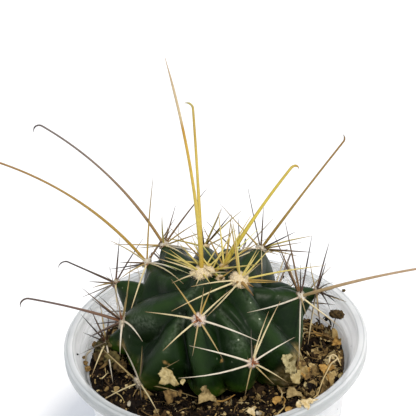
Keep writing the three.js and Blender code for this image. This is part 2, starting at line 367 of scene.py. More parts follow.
# Shared shader groups
def startGroup(name, sizes, output):
    group = bpy.data.node_groups.new(name, "ShaderNodeTree")
    for label, value in sizes:
        socket = group.interface.new_socket(label, in_out="INPUT", socket_type="NodeSocketFloat")
        socket.default_value = value
    group.interface.new_socket(output, in_out="OUTPUT", socket_type="NodeSocketFloat")
    given = addNode(group, "NodeGroupInput").outputs
    return group, given, addNode(group, "ShaderNodeTexCoord").outputs["Object"]


def makeMottle():
    sizes = [("Scale", 300.0), ("Detail", 4.0), ("Low", 0.35), ("High", 0.65)]
    group, given, place = startGroup("mottle", sizes, "Share")
    cloud = addNode(group, "ShaderNodeTexNoise", {
        "Vector": place, "Scale": given["Scale"], "Detail": given["Detail"], "Roughness": 0.6})
    share = mapped(group, cloud.outputs[0], given["Low"], given["High"])
    addNode(group, "NodeGroupOutput", {"Share": share})
    return group


def makeSpecks():
    sizes = [("Scale", 900.0), ("Size", 0.18), ("Amount", 0.5)]
    group, given, place = startGroup("specks", sizes, "Mask")
    cells = addNode(group, "ShaderNodeTexVoronoi", {"Vector": place, "Scale": given["Scale"]})
    dots = maths(group, "LESS_THAN", cells.outputs["Distance"], given["Size"])
    pick = addNode(group, "ShaderNodeSeparateColor", {"Color": cells.outputs["Color"]})
    kept = maths(group, "LESS_THAN", pick.outputs[0], given["Amount"])
    addNode(group, "NodeGroupOutput", {"Mask": maths(group, "MULTIPLY", dots, kept)})
    return group


mottle = makeMottle()
specks = makeSpecks()


def placeGroup(tree, group, **values):
    node = addNode(tree, "ShaderNodeGroup", node_tree=group)
    plug(tree, node, {name.capitalize(): value for name, value in values.items()})
    return node.outputs[0]


def attributeOf(tree, name, output="Fac"):
    return addNode(tree, "ShaderNodeAttribute", attribute_name=name).outputs[output]


def bump(tree, height, strength, distance):
    inputs = {"Height": height, "Strength": strength, "Distance": distance * mm}
    return addNode(tree, "ShaderNodeBump", inputs).outputs[0]


# Pot: a turned shell of milky plastic
pot = {
    "height": 62.0,
    "baseRadius": 25.0,
    "shoulderHeight": 54.0,
    "shoulderRadius": 30.75,
    "stepHeight": 57.2,
    "stepRadius": 31.8,
    "lipRadius": 35.0,
    "lipWidth": 2.2,
    "skirtDepth": 2.6,
    "wall": 0.8,
    "floor": 1.4,
    "sectors": 240,
    "weld": 0.002,
    "drainHoles": 8,
    "drainRing": 14.0,
    "drainRadius": 2.5,
    "drillDepth": 8.0,
    "drillSides": 40,
    "colours": ("e3e6e8", "f6f7f4"),
    "see": 0.58,  # how clear each skin of the upper wall is
    "roughness": (0.26, 0.42),
    "glow": 1.0,
    "glowReach": 3.0,
    "dirtColour": "4a3c2c",
    "dirtShare": 0.75,
    # the lip and the upper inner wall carry painted shade, grey, strongest on the front left
    "shadeAzimuth": -125,  # where the painted shade on lip and wall is darkest, in degrees
    "shadeShares": (0.18, 0.78),
    "lipShade": "a9aeb0",
    "lipShadeDepths": (2.4, 1.0),  # depths are measured inwards from the lip's edge
    "wallShade": "8e9494",
    "wallShadeDepths": (2.8, 2.2),
    "lipThickness": 0.3,  # how much less clear the lip is
    "thickDepths": (2.6, 2.0),
    # painted shade: thin grey lines at these radii, round the lip's bends and the ledge
    "shadedBends": (31.6, 32.9, 34.2, 34.9),
    "bendShadeColour": "8f9494",
    "bendShadeShare": 0.5,
    "bendShadeWidths": (0.05, 0.2),
    "lineGap": 0.9,
    "lineShare": 0.35,
}


def potRadius(z):
    widening = pot["shoulderRadius"] - pot["baseRadius"]
    return pot["baseRadius"] + widening * z / pot["shoulderHeight"]


def roundCorners(corners, steps=4):
    # corners are (radius, height, rounding); each becomes a short curve
    count = len(corners)
    points = []
    for i, (r, z, rounding) in enumerate(corners):
        here = Vector((r, z))
        if rounding == 0:
            points.append(here)
            continue
        before = Vector(corners[i - 1][:2])
        after = Vector(corners[(i + 1) % count][:2])
        back, forth = before - here, after - here
        reach = min(rounding, back.length * 0.45, forth.length * 0.45)
        start, end = here + back.normalized() * reach, here + forth.normalized() * reach
        for k in range(steps + 1):
            t = k / steps
            points.append(start * (1 - t) ** 2 + here * 2 * t * (1 - t) + end * t ** 2)
    return points


def potProfile():
    # up the outside from the middle of the bottom, over the lip and down the inside
    top, lip, wall, base = pot["height"], pot["lipRadius"], pot["wall"], pot["baseRadius"]
    inside = lip - pot["lipWidth"]
    skirt = lip - wall
    step, ledge = pot["stepHeight"], pot["stepRadius"]
    corners = [
        (0, 0, 0),
        (base - 4, 0, 0.3),
        (base - 3.4, 0.5, 0.3),
        (base - 1.6, 0.5, 0.3),
        (base - 1.2, 0, 0.4),
        (base - 0.4, 0, 0.5),
        (base + 0.1, 0.9, 0.5),
        (pot["shoulderRadius"], pot["shoulderHeight"], 0.6),
        (ledge, step, 0.6),
        (inside + 0.3, top - 1.6, 0.3),
        (skirt, top - 1.4, 0.25),
        (skirt, top - pot["skirtDepth"], 0.2),
        (lip, top - pot["skirtDepth"], 0.2),
        (lip - 0.05, top - 0.35, 0.35),
        (lip - 0.75, top - 0.02, 0.3),
        (lip - 1.2, top - 0.1, 0.2),
        (inside + 0.2, top - 0.05, 0.4),
        (inside - 0.45, top - 0.9, 0.4),
        (ledge - 0.35, step + 1.1, 0.25),
        (ledge - wall - 0.1, step + 0.5, 0.3),
        (ledge - wall - 0.5, step - 1.4, 0.4),
        (pot["shoulderRadius"] - wall, pot["shoulderHeight"], 0.5),
        (potRadius(pot["floor"]) - wall, pot["floor"], 0.8),
        (0, pot["floor"], 0),
    ]
    return roundCorners(corners)


# Turns a profile round the upright axis: a grid of profile points by sectors
def makeTurning():
    sizes = [("Sectors", "Int", 96), ("Profile Points", "Int", 10), ("Weld", "Float", 0.000002)]
    tree, given = startTree("turning", sizes)
    count = given["Profile Points"]
    rows = maths(tree, "ADD", given["Sectors"], 1.0)
    grid = addNode(tree, "GeometryNodeMeshGrid", {
        "Size X": 1.0, "Size Y": 1.0, "Vertices X": rows, "Vertices Y": count}).outputs[0]
    index = addNode(tree, "GeometryNodeInputIndex").outputs[0]
    sector = maths(tree, "DIVIDE", maths(tree, "ADD", index, 0.5), count)
    sector = maths(tree, "FLOOR", sector)
    along = maths(tree, "SUBTRACT", index, maths(tree, "MULTIPLY", sector, count))
    sample = addNode(tree, "GeometryNodeSampleIndex", {
        "Geometry": given["Geometry"], "Value": positionOf(tree), "Index": along},
        data_type="FLOAT_VECTOR").outputs[0]
    parts = addNode(tree, "ShaderNodeSeparateXYZ", {"Vector": sample}).outputs
    turn = maths(tree, "DIVIDE", maths(tree, "MULTIPLY", sector, math.tau), given["Sectors"])
    x = maths(tree, "MULTIPLY", parts[0], maths(tree, "COSINE", turn))
    y = maths(tree, "MULTIPLY", parts[0], maths(tree, "SINE", turn))
    turned = moved(tree, grid, "Position", joined(tree, x, y, parts[2]))
    closed = addNode(tree, "GeometryNodeMergeByDistance", {
        "Geometry": turned, "Distance": given["Weld"]}).outputs[0]
    endTree(tree, given, closed)
    return tree


def makePlastic():
    material, tree, paint = newMaterial("milkyPlastic")
    place = addNode(tree, "ShaderNodeTexCoord").outputs["Object"]
    height = addNode(tree, "ShaderNodeSeparateXYZ", {"Vector": place}).outputs["Z"]
    flat = flattened(tree, place)
    around = vectorMaths(tree, "LENGTH", flat)

    def upTheWall(low, high):
        ends = (pot["shoulderHeight"] * mm, pot["stepHeight"] * mm)
        return mapped(tree, height, *ends, low, high)

    def inTheLip(depths, low, high):
        ends = [(pot["lipRadius"] - depth) * mm for depth in depths]
        return mapped(tree, around, *ends, low, high)

    cloud = placeGroup(tree, mottle, scale=90.0, detail=3.0, low=0.3, high=0.7)
    colour = mixColour(tree, cloud, *[opaque(code) for code in pot["colours"]])
    dirt = placeGroup(tree, specks, scale=420.0, size=0.10, amount=0.16)
    colour = tinted(tree, colour, dirt, pot["dirtShare"], pot["dirtColour"])
    # painted shade: the outer lip and the upper inner wall are greyed, most on the front left side
    shadiest = fromTop(pot["shadeAzimuth"], 90)
    facing = vectorMaths(tree, "DOT_PRODUCT", vectorMaths(tree, "NORMALIZE", flat), shadiest)
    shadeShare = mapped(tree, facing, -0.35, 1.0, *pot["shadeShares"])
    lip = inTheLip(pot["lipShadeDepths"], 0.0, 1.0)
    colour = tinted(tree, colour, lip, shadeShare, pot["lipShade"])
    wall = maths(tree, "MULTIPLY", upTheWall(0.0, 1.0), inTheLip(pot["wallShadeDepths"], 1.0, 0.0))
    colour = tinted(tree, colour, wall, shadeShare, pot["wallShade"])
    # painted shade along the lip's bends and the ledge, as thin grey rings
    near, far = (width * mm for width in pot["bendShadeWidths"])
    for radius in pot["shadedBends"]:
        away = maths(tree, "ABSOLUTE", maths(tree, "SUBTRACT", around, radius * mm))
        line = mapped(tree, away, near, far, pot["bendShadeShare"], 0.0)
        colour = mixColour(tree, line, colour, opaque(pot["bendShadeColour"]))
    streak = addNode(tree, "ShaderNodeTexNoise", {
        "Vector": vectorMaths(tree, "MULTIPLY", place, (1.0, 1.0, 0.12)),
        "Scale": 60.0, "Detail": 3.0, "Roughness": 0.6}).outputs[0]
    pitch = math.tau / (pot["lineGap"] * mm)
    lines = maths(tree, "SINE", maths(tree, "MULTIPLY", maths(tree, "ADD", around, height), pitch))
    relief = maths(tree, "ADD", streak, maths(tree, "MULTIPLY", lines, pot["lineShare"]))
    thick = inTheLip(pot["thickDepths"], 0.0, pot["lipThickness"])
    cover = maths(tree, "ADD", upTheWall(1.0, 1.0 - pot["see"]), thick)
    plug(tree, paint, {
        "Base Color": colour,
        "Roughness": mapped(tree, streak, 0.3, 0.7, *pot["roughness"]),
        "Normal": bump(tree, relief, 0.35, 0.25),
        "Alpha": maths(tree, "MINIMUM", cover, 1.0),
        "Subsurface Weight": pot["glow"],
        "Subsurface Radius": (1.0, 0.97, 0.93),
        "Subsurface Scale": pot["glowReach"] * mm,
        "IOR": 1.45,
    })
    return material


def makePot():
    profile = potProfile()
    line = meshFrom("potLine", [(p.x, 0, p.y) for p in profile], [])
    values = {"Sectors": pot["sectors"], "Profile Points": len(profile), "Weld": pot["weld"] * mm}
    shell = grow("potShell", line, makeTurning(), makePlastic(), values)
    drills = bmesh.new()
    radius = pot["drainRadius"] * mm
    for k in range(pot["drainHoles"]):
        turn = math.tau * k / pot["drainHoles"]
        spot = Vector((math.cos(turn), math.sin(turn), 0)) * pot["drainRing"] * mm
        bmesh.ops.create_cone(
            drills, cap_ends=True, segments=pot["drillSides"], radius1=radius, radius2=radius,
            depth=pot["drillDepth"] * mm, matrix=Matrix.Translation(spot))
    drill = link(bpy.data.objects.new("drills", meshOf("drills", drills)))
    cut = shell.modifiers.new("drain", "BOOLEAN")
    cut.object = drill
    applied(shell, cut)
    bpy.data.objects.remove(drill)
    return shell


potShell = makePot()
settle(potShell, "pot", "pot")
print("stage: pot")


# Body: the ribbed globe, from the same ridge lines as its solid
globe = {
    "heart": (0.5, 0.5, 62.0),
    "furrowReach": 14.5,
    "flankPower": 1.65,
    "furrowSharpness": 3.0,
    "lowest": 52.6,
    "waves": 0.16,
    "corkRelief": 0.55,
    "footTop": 61.5,  # below this the skin turns yellow and corky
    "footDepth": 5.5,
    "crestHighlightWidth": 1.5,
    "furrowShadeWidth": 0.7,
    "fineness": 7,
    "greens": ("0a1c08", "142a07"),
    # crest: painted highlight, a lighter green along the rib crests
    # furrow: painted shade, near black in the valleys and creases between ribs
    "layers": [("crest", 0.45, "2b421a"), ("low", 0.8, "43640e"), ("furrow", 0.8, "061204")],
    "scurfColour": "7f8c76",
    "scurfShare": 0.32,
    "speckColour": "aeb49c",
    "corkColours": [(0.0, "4a3b1c"), (0.4, "8f7846"), (0.7, "b9a272"), (1.0, "e0d2a4")],
    "wornColour": "b08a52",
}

heart = Vector(globe["heart"])

# Each ridge line has how fast its flanks fall, and runs from the crown outwards: azimuth, angle
# from the top, reach
ridges = [
    (0.20, [(-131, 13, 17.7), (-111, 28, 18), (-104, 50, 20.4), (-104, 65, 20.5), (-101, 80, 20.8),
            (-99, 98, 20.6)]),
    (0.22, [(-60, 12, 17.5), (-94, 31, 18), (-88, 42, 19), (-82, 49, 19.8), (-77, 57, 20.3),
            (-73, 70, 21.5), (-71, 77, 22.1), (-75, 95, 20.6)]),
    (0.18, [(-113, 44, 18.8), (-121, 51, 19.3), (-125, 63, 20), (-127, 76, 20.8), (-136, 90, 21.4),
            (-148, 105, 22)]),
    (0.20, [(-131, 13, 17.7), (-117, 29, 18), (-126, 38, 18.5), (-136, 44, 19.5), (-148, 54, 20.8),
            (-173, 76, 22.1), (-171, 90, 21.6), (-165, 103, 21.6)]),
    (0.28, [(-155, 20, 17.2), (-178, 36, 18.0), (165, 46, 18.9), (145, 57, 22.3), (146, 78, 21)]),
    (0.20, [(160, 52, 20.2), (166, 61, 19.8), (174, 70, 19.6), (178, 80, 19.8)]),
    (0.80, [(163, 58, 19), (163, 68, 26), (165, 82, 22.5)]),
    (0.24, [(-46, 26, 18.2), (-54, 37, 18.6), (-58, 55, 20), (-54, 62, 20.6), (-49, 76, 21.5),
            (-43, 88, 22.6), (-37, 98, 24.2), (-35, 106, 23.2)]),
    (0.32, [(-25, 38, 15.8), (-15, 51, 18.0), (-8, 64, 21.6), (-16, 78, 20.6), (-24, 92, 20.4),
            (-25, 104, 20)]),
    (0.60, [(6, 66, 20.5), (9, 75, 24.8), (4, 86, 20.5)]),
    (0.30, [(15, 24, 17.6), (38, 40, 20.2), (47, 51, 21.7), (46, 75, 21)]),
    (0.30, [(36, 28, 17.2), (55, 41, 19.6), (58, 54, 20.2)]),
    (0.32, [(104, 12, 17.6), (98, 44, 19.9), (99, 66, 21)]),
    (0.34, [(153, 23, 18), (138, 40, 21.5), (130, 49, 23.5), (128, 72, 21.5)]),
    (0.40, [(-178, 84, 21.5), (176, 97, 26.5)]),
    (0.30, [(72, 40, 19), (72, 72, 22.5), (72, 96, 21)]),
    (0.30, [(25, 78, 21), (27, 92, 22.8), (28, 105, 20.5)]),
    (0.30, [(112, 74, 21), (114, 88, 22.8), (115, 104, 20.5)]),
    (0.34, [(50, 92, 21), (50, 101, 22)]),
    (0.34, [(92, 92, 21.5), (93, 101, 22)]),
    (0.34, [(140, 84, 21), (142, 98, 22.5)]),
]

# Sharp creases between ribs: depth, half width, and their line from the crown outwards
creases = [
    (1.3, 0.9, [(-95, 33), (-89, 40), (-80, 48), (-74, 56), (-70, 64), (-66, 72), (-62, 86)]),
    (1.6, 0.9, [(-121, 47), (-118, 61), (-115, 69), (-112, 77), (-110, 85), (-110, 98)]),
    (0.5, 1.3, [(-93, 52), (-87, 63), (-86, 73)]),
    (0.9, 0.8, [(-92, 82), (-90, 91), (-86, 102)]),
    (0.5, 1.2, [(-126, 48), (-137, 62), (-142, 76), (-150, 90)]),
    (1.0, 1.0, [(-38, 42), (-38, 60), (-32, 80), (-30, 95)]),
]
# Corky patches: azimuth, angle from the top, radius in mm
corkPatches = [
    (-42, 92, 3.1), (-41, 99, 3.8), (-33, 98, 3.8), (-31, 105, 3.0), (-172, 94, 1.6), (-20, 108, 3.0),
    (28, 104, 4.0), (95, 106, 4.0),
]
# Pale scurf streaks along a crest: from, to, half width in mm
scurfStreaks = [
    ((-112, 20), (-124, 38), 0.9), ((-54, 37), (-57, 58), 0.8), ((-10, 68), (-18, 84), 1.0),
    ((-160, 68), (-146, 62), 1.8), ((-120, 50), (-126, 72), 0.8), ((-88, 40), (-76, 60), 0.6),
    ((-74, 64), (-78, 66), 1.6), ((-176, 84), (-170, 92), 1.3),
]
# Small worn spots: azimuth, angle from the top, radius in mm
wornSpots = [(-125, 80, 0.4), (-123, 81, 0.25), (-64, 71, 0.4), (-88, 77, 0.3)]


def nearestOn(ways, start, end):
    # for an array of unit directions: how far along a line their nearest spot is, and how far off
    first = np.array(fromTop(*start))
    along = np.array(fromTop(*end)) - first
    t = np.clip((ways - first) @ along / (along @ along), 0, 1)
    return t, np.linalg.norm(ways - (first + t[:, None] * along), axis=1)


def reachesOf(ways):
    # reach of the ribbed skin, distance from the nearest crest, and how clearly one ridge leads
    domes, crest = [], np.full(len(ways), 99.0)
    for fall, line in ridges:
        best = np.zeros(len(ways))
        for (*start, startReach), (*end, endReach) in zip(line, line[1:]):
            t, off = nearestOn(ways, start, end)
            reach = startReach + t * (endReach - startReach)
            away = reach * off
            best = np.maximum(best, reach - fall * away ** globe["flankPower"])
            crest = np.minimum(crest, away)
        domes.append(best)
    stack = np.vstack([np.full(len(ways), globe["furrowReach"])] + domes)
    stack.sort(axis=0)
    highest = stack[-1]
    sharp = globe["furrowSharpness"]
    total = np.exp(sharp * (stack - highest)).sum(axis=0)
    return highest + np.log(total) / sharp, crest, highest - stack[-2]


def patchField(ways, patches, reach=21.0):
    field = np.zeros(len(ways))
    for azimuth, polar, radius in patches:
        away = reach * np.linalg.norm(ways - np.array(fromTop(azimuth, polar)), axis=1)
        field = np.maximum(field, np.clip(1.35 - away / radius, 0, 1))
    return field


def lineField(ways, line, width, reach=20.0):
    field = np.zeros(len(ways))
    for start, end in zip(line, line[1:]):
        away = reach * nearestOn(ways, start, end)[1]
        field = np.maximum(field, np.exp(-(away / width) ** 2))
    return field


def creaseField(ways):
    # how deep the creases cut, in mm, fading out round each line by its width
    return sum(depth * lineField(ways, line, width) for depth, width, line in creases)


def streakField(ways, streaks):
    return np.max([lineField(ways, (start, end), width) for start, end, width in streaks], axis=0)


def makeSkin():
    material, tree, paint = newMaterial("cactusSkin")
    cork, scurf, worn = (attributeOf(tree, name) for name in ("cork", "scurf", "worn"))
    broad = placeGroup(tree, mottle, scale=170.0, detail=3.0, low=0.3, high=0.7)
    fine = placeGroup(tree, mottle, scale=1500.0, detail=4.0, low=0.35, high=0.7)
    colour = mixColour(tree, broad, *[opaque(code) for code in globe["greens"]])
    # the layers lay a painted highlight on the crests, the yellow foot and painted shade in the furrows
    for name, share, code in globe["layers"]:
        colour = tinted(tree, colour, attributeOf(tree, name), share, code)
    flaky = maths(tree, "MULTIPLY", scurf, fine)
    colour = tinted(tree, colour, flaky, globe["scurfShare"], globe["scurfColour"])
    dots = placeGroup(tree, specks, scale=620.0, size=0.14, amount=0.10)
    dotShare = maths(tree, "ADD", maths(tree, "MULTIPLY", scurf, 0.7), 0.16)
    colour = tinted(tree, colour, dots, dotShare, globe["speckColour"])
    crust = placeGroup(tree, mottle, scale=650.0, detail=6.0, low=0.25, high=0.75)
    colour = mixColour(tree, cork, colour, ramp(tree, crust, globe["corkColours"]))
    dullness = maths(tree, "ADD", cork, maths(tree, "MULTIPLY", scurf, 0.3))
    finer, broader = maths(tree, "MULTIPLY", fine, 0.25), maths(tree, "MULTIPLY", broad, 0.75)
    plug(tree, paint, {
        "Base Color": mixColour(tree, worn, colour, opaque(globe["wornColour"])),
        "Roughness": mapped(tree, dullness, 0.0, 1.0, 0.42, 0.85),
        "Specular IOR Level": 0.15,
        "Normal": bump(tree, maths(tree, "ADD", finer, broader), 0.35, 0.25),
    })
    return material


def makeBody():
    ball = bmesh.new()
    bmesh.ops.create_icosphere(ball, subdivisions=globe["fineness"], radius=1)
    mesh = meshOf("cactusBody", ball)
    count = len(mesh.vertices)
    ways = np.empty(count * 3)
    mesh.vertices.foreach_get("co", ways)
    ways = ways.reshape(-1, 3)
    ways /= np.linalg.norm(ways, axis=1)[:, None]
    reach, away, gap = reachesOf(ways)
    cut = creaseField(ways)
    reach -= cut
    cork = patchField(ways, corkPatches)
    rough = np.array([noise.fractal(Vector(w) * 9, 1.0, 2.0, 4) for w in ways])
    waves = np.array([noise.noise(Vector(w) * 4.5) for w in ways])
    reach += globe["waves"] * waves + globe["corkRelief"] * cork * (0.25 + rough)
    places = np.array(heart) + ways * reach[:, None]
    foot = np.clip((globe["footTop"] - places[:, 2]) / globe["footDepth"], 0, 1)
    flecks = foot * np.clip(rough * 1.2 - 0.25, 0, 1)
    cork = np.clip(cork * (1.1 + 0.9 * rough) + flecks, 0, 1)
    places[:, 2] = np.maximum(places[:, 2], globe["lowest"])
    mesh.vertices.foreach_set("co", (places * mm).ravel())
    masks = {
        # painted highlight along the rib crests
        "crest": np.exp(-(away / globe["crestHighlightWidth"]) ** 2),
        # painted shade in the valleys and creases between ribs
        "furrow": np.clip(np.exp(-gap / globe["furrowShadeWidth"]) * 0.7 + cut * 0.6, 0, 1),
        "low": foot,
        "cork": cork,
        "scurf": streakField(ways, scurfStreaks),
        "worn": patchField(ways, wornSpots),
    }
    for name, values in masks.items():
        storeFloats(mesh, name, values)
    return addPiece("cactusBody", mesh, makeSkin())


cactusBody = makeBody()
settle(cactusBody, "cactus", "cactus")
print("stage: body")


# Spines: tone names with their colours from root to tip, and their usual width
tones = {
    "white": ([(0, "b98a68"), (0.1, "ded2bd"), (0.7, "dcd5c3"), (1, "a8987c")], 0.47),
    "cream": ([(0, "b07c48"), (0.12, "dccfa4"), (0.7, "d2c296"), (1, "97794e")], 0.44),
    "tan": ([(0, "94663a"), (0.15, "b49d66"), (0.7, "a59160"), (1, "6c593a")], 0.42),
    "golden": ([(0, "8f6424"), (0.15, "b69742"), (0.7, "a58a48"), (1, "64512e")], 0.43),
    "yellow": ([(0, "b8902c"), (0.15, "d6c568"), (0.7, "d2c274"), (1, "a98f50")], 0.46),
    "lime": ([(0, "b4a840"), (0.3, "ccd070"), (1, "d2ce94")], 0.42),
    "brown": ([(0, "7e502c"), (0.2, "80633e"), (0.7, "665038"), (1, "40342b")], 0.47),
    "dark": ([(0, "7a3f26"), (0.2, "57402f"), (0.6, "43352f"), (1, "2c2627")], 0.44),
    "grey": ([(0, "8a6a50"), (0.3, "857a68"), (1, "4c443e")], 0.36),
    "stub": ([(0, "66301c"), (0.5, "8f5236"), (1, "bd8c68")], 0.8),
    "scale": ([(0, "8c6a34"), (0.5, "a58448"), (1, "6b4c26")], 1.0),
}

# Tones of the long centrals, from root to tip
centralTones = {
    "youngLong": [(0, "b8942a"), (0.3, "d3bf55"), (0.62, "cfa93e"), (0.72, "b8862c"), (0.74, "d2bf95"),
                  (1, "c3ab8b")],
    "youngHooked": [(0, "bfa032"), (0.45, "d0b94c"), (0.62, "b99a36"), (0.85, "b7ab5c"), (1, "a8a487")],
    "youngGreen": [(0, "b29c2c"), (0.4, "ccb83e"), (0.75, "c5ae40"), (0.92, "b8923c"), (1, "8a7a5c")],
    "orange": [(0, "a8883c"), (0.3, "b39550"), (0.65, "a07c3c"), (0.85, "8e6c3a"), (0.95, "8a8274"),
               (1, "6f685f")],
    "russet": [(0, "b8943a"), (0.3, "ac8c44"), (0.6, "9a7640"), (1, "90643c")],
    "ashen": [(0, "a9843e"), (0.18, "98794e"), (0.5, "7a6a5e"), (0.85, "585050"), (0.95, "3a3030"),
              (1, "2c2626")],
    "plum": [(0, "a3683c"), (0.15, "7f5f48"), (0.5, "655048"), (1, "40352f")],
    "rose": [(0, "a39062"), (0.25, "bda078"), (0.7, "c2a384"), (1, "95725a")],
    "slate": [(0, "6a5648"), (0.5, "554a44"), (1, "3a3434")],
}

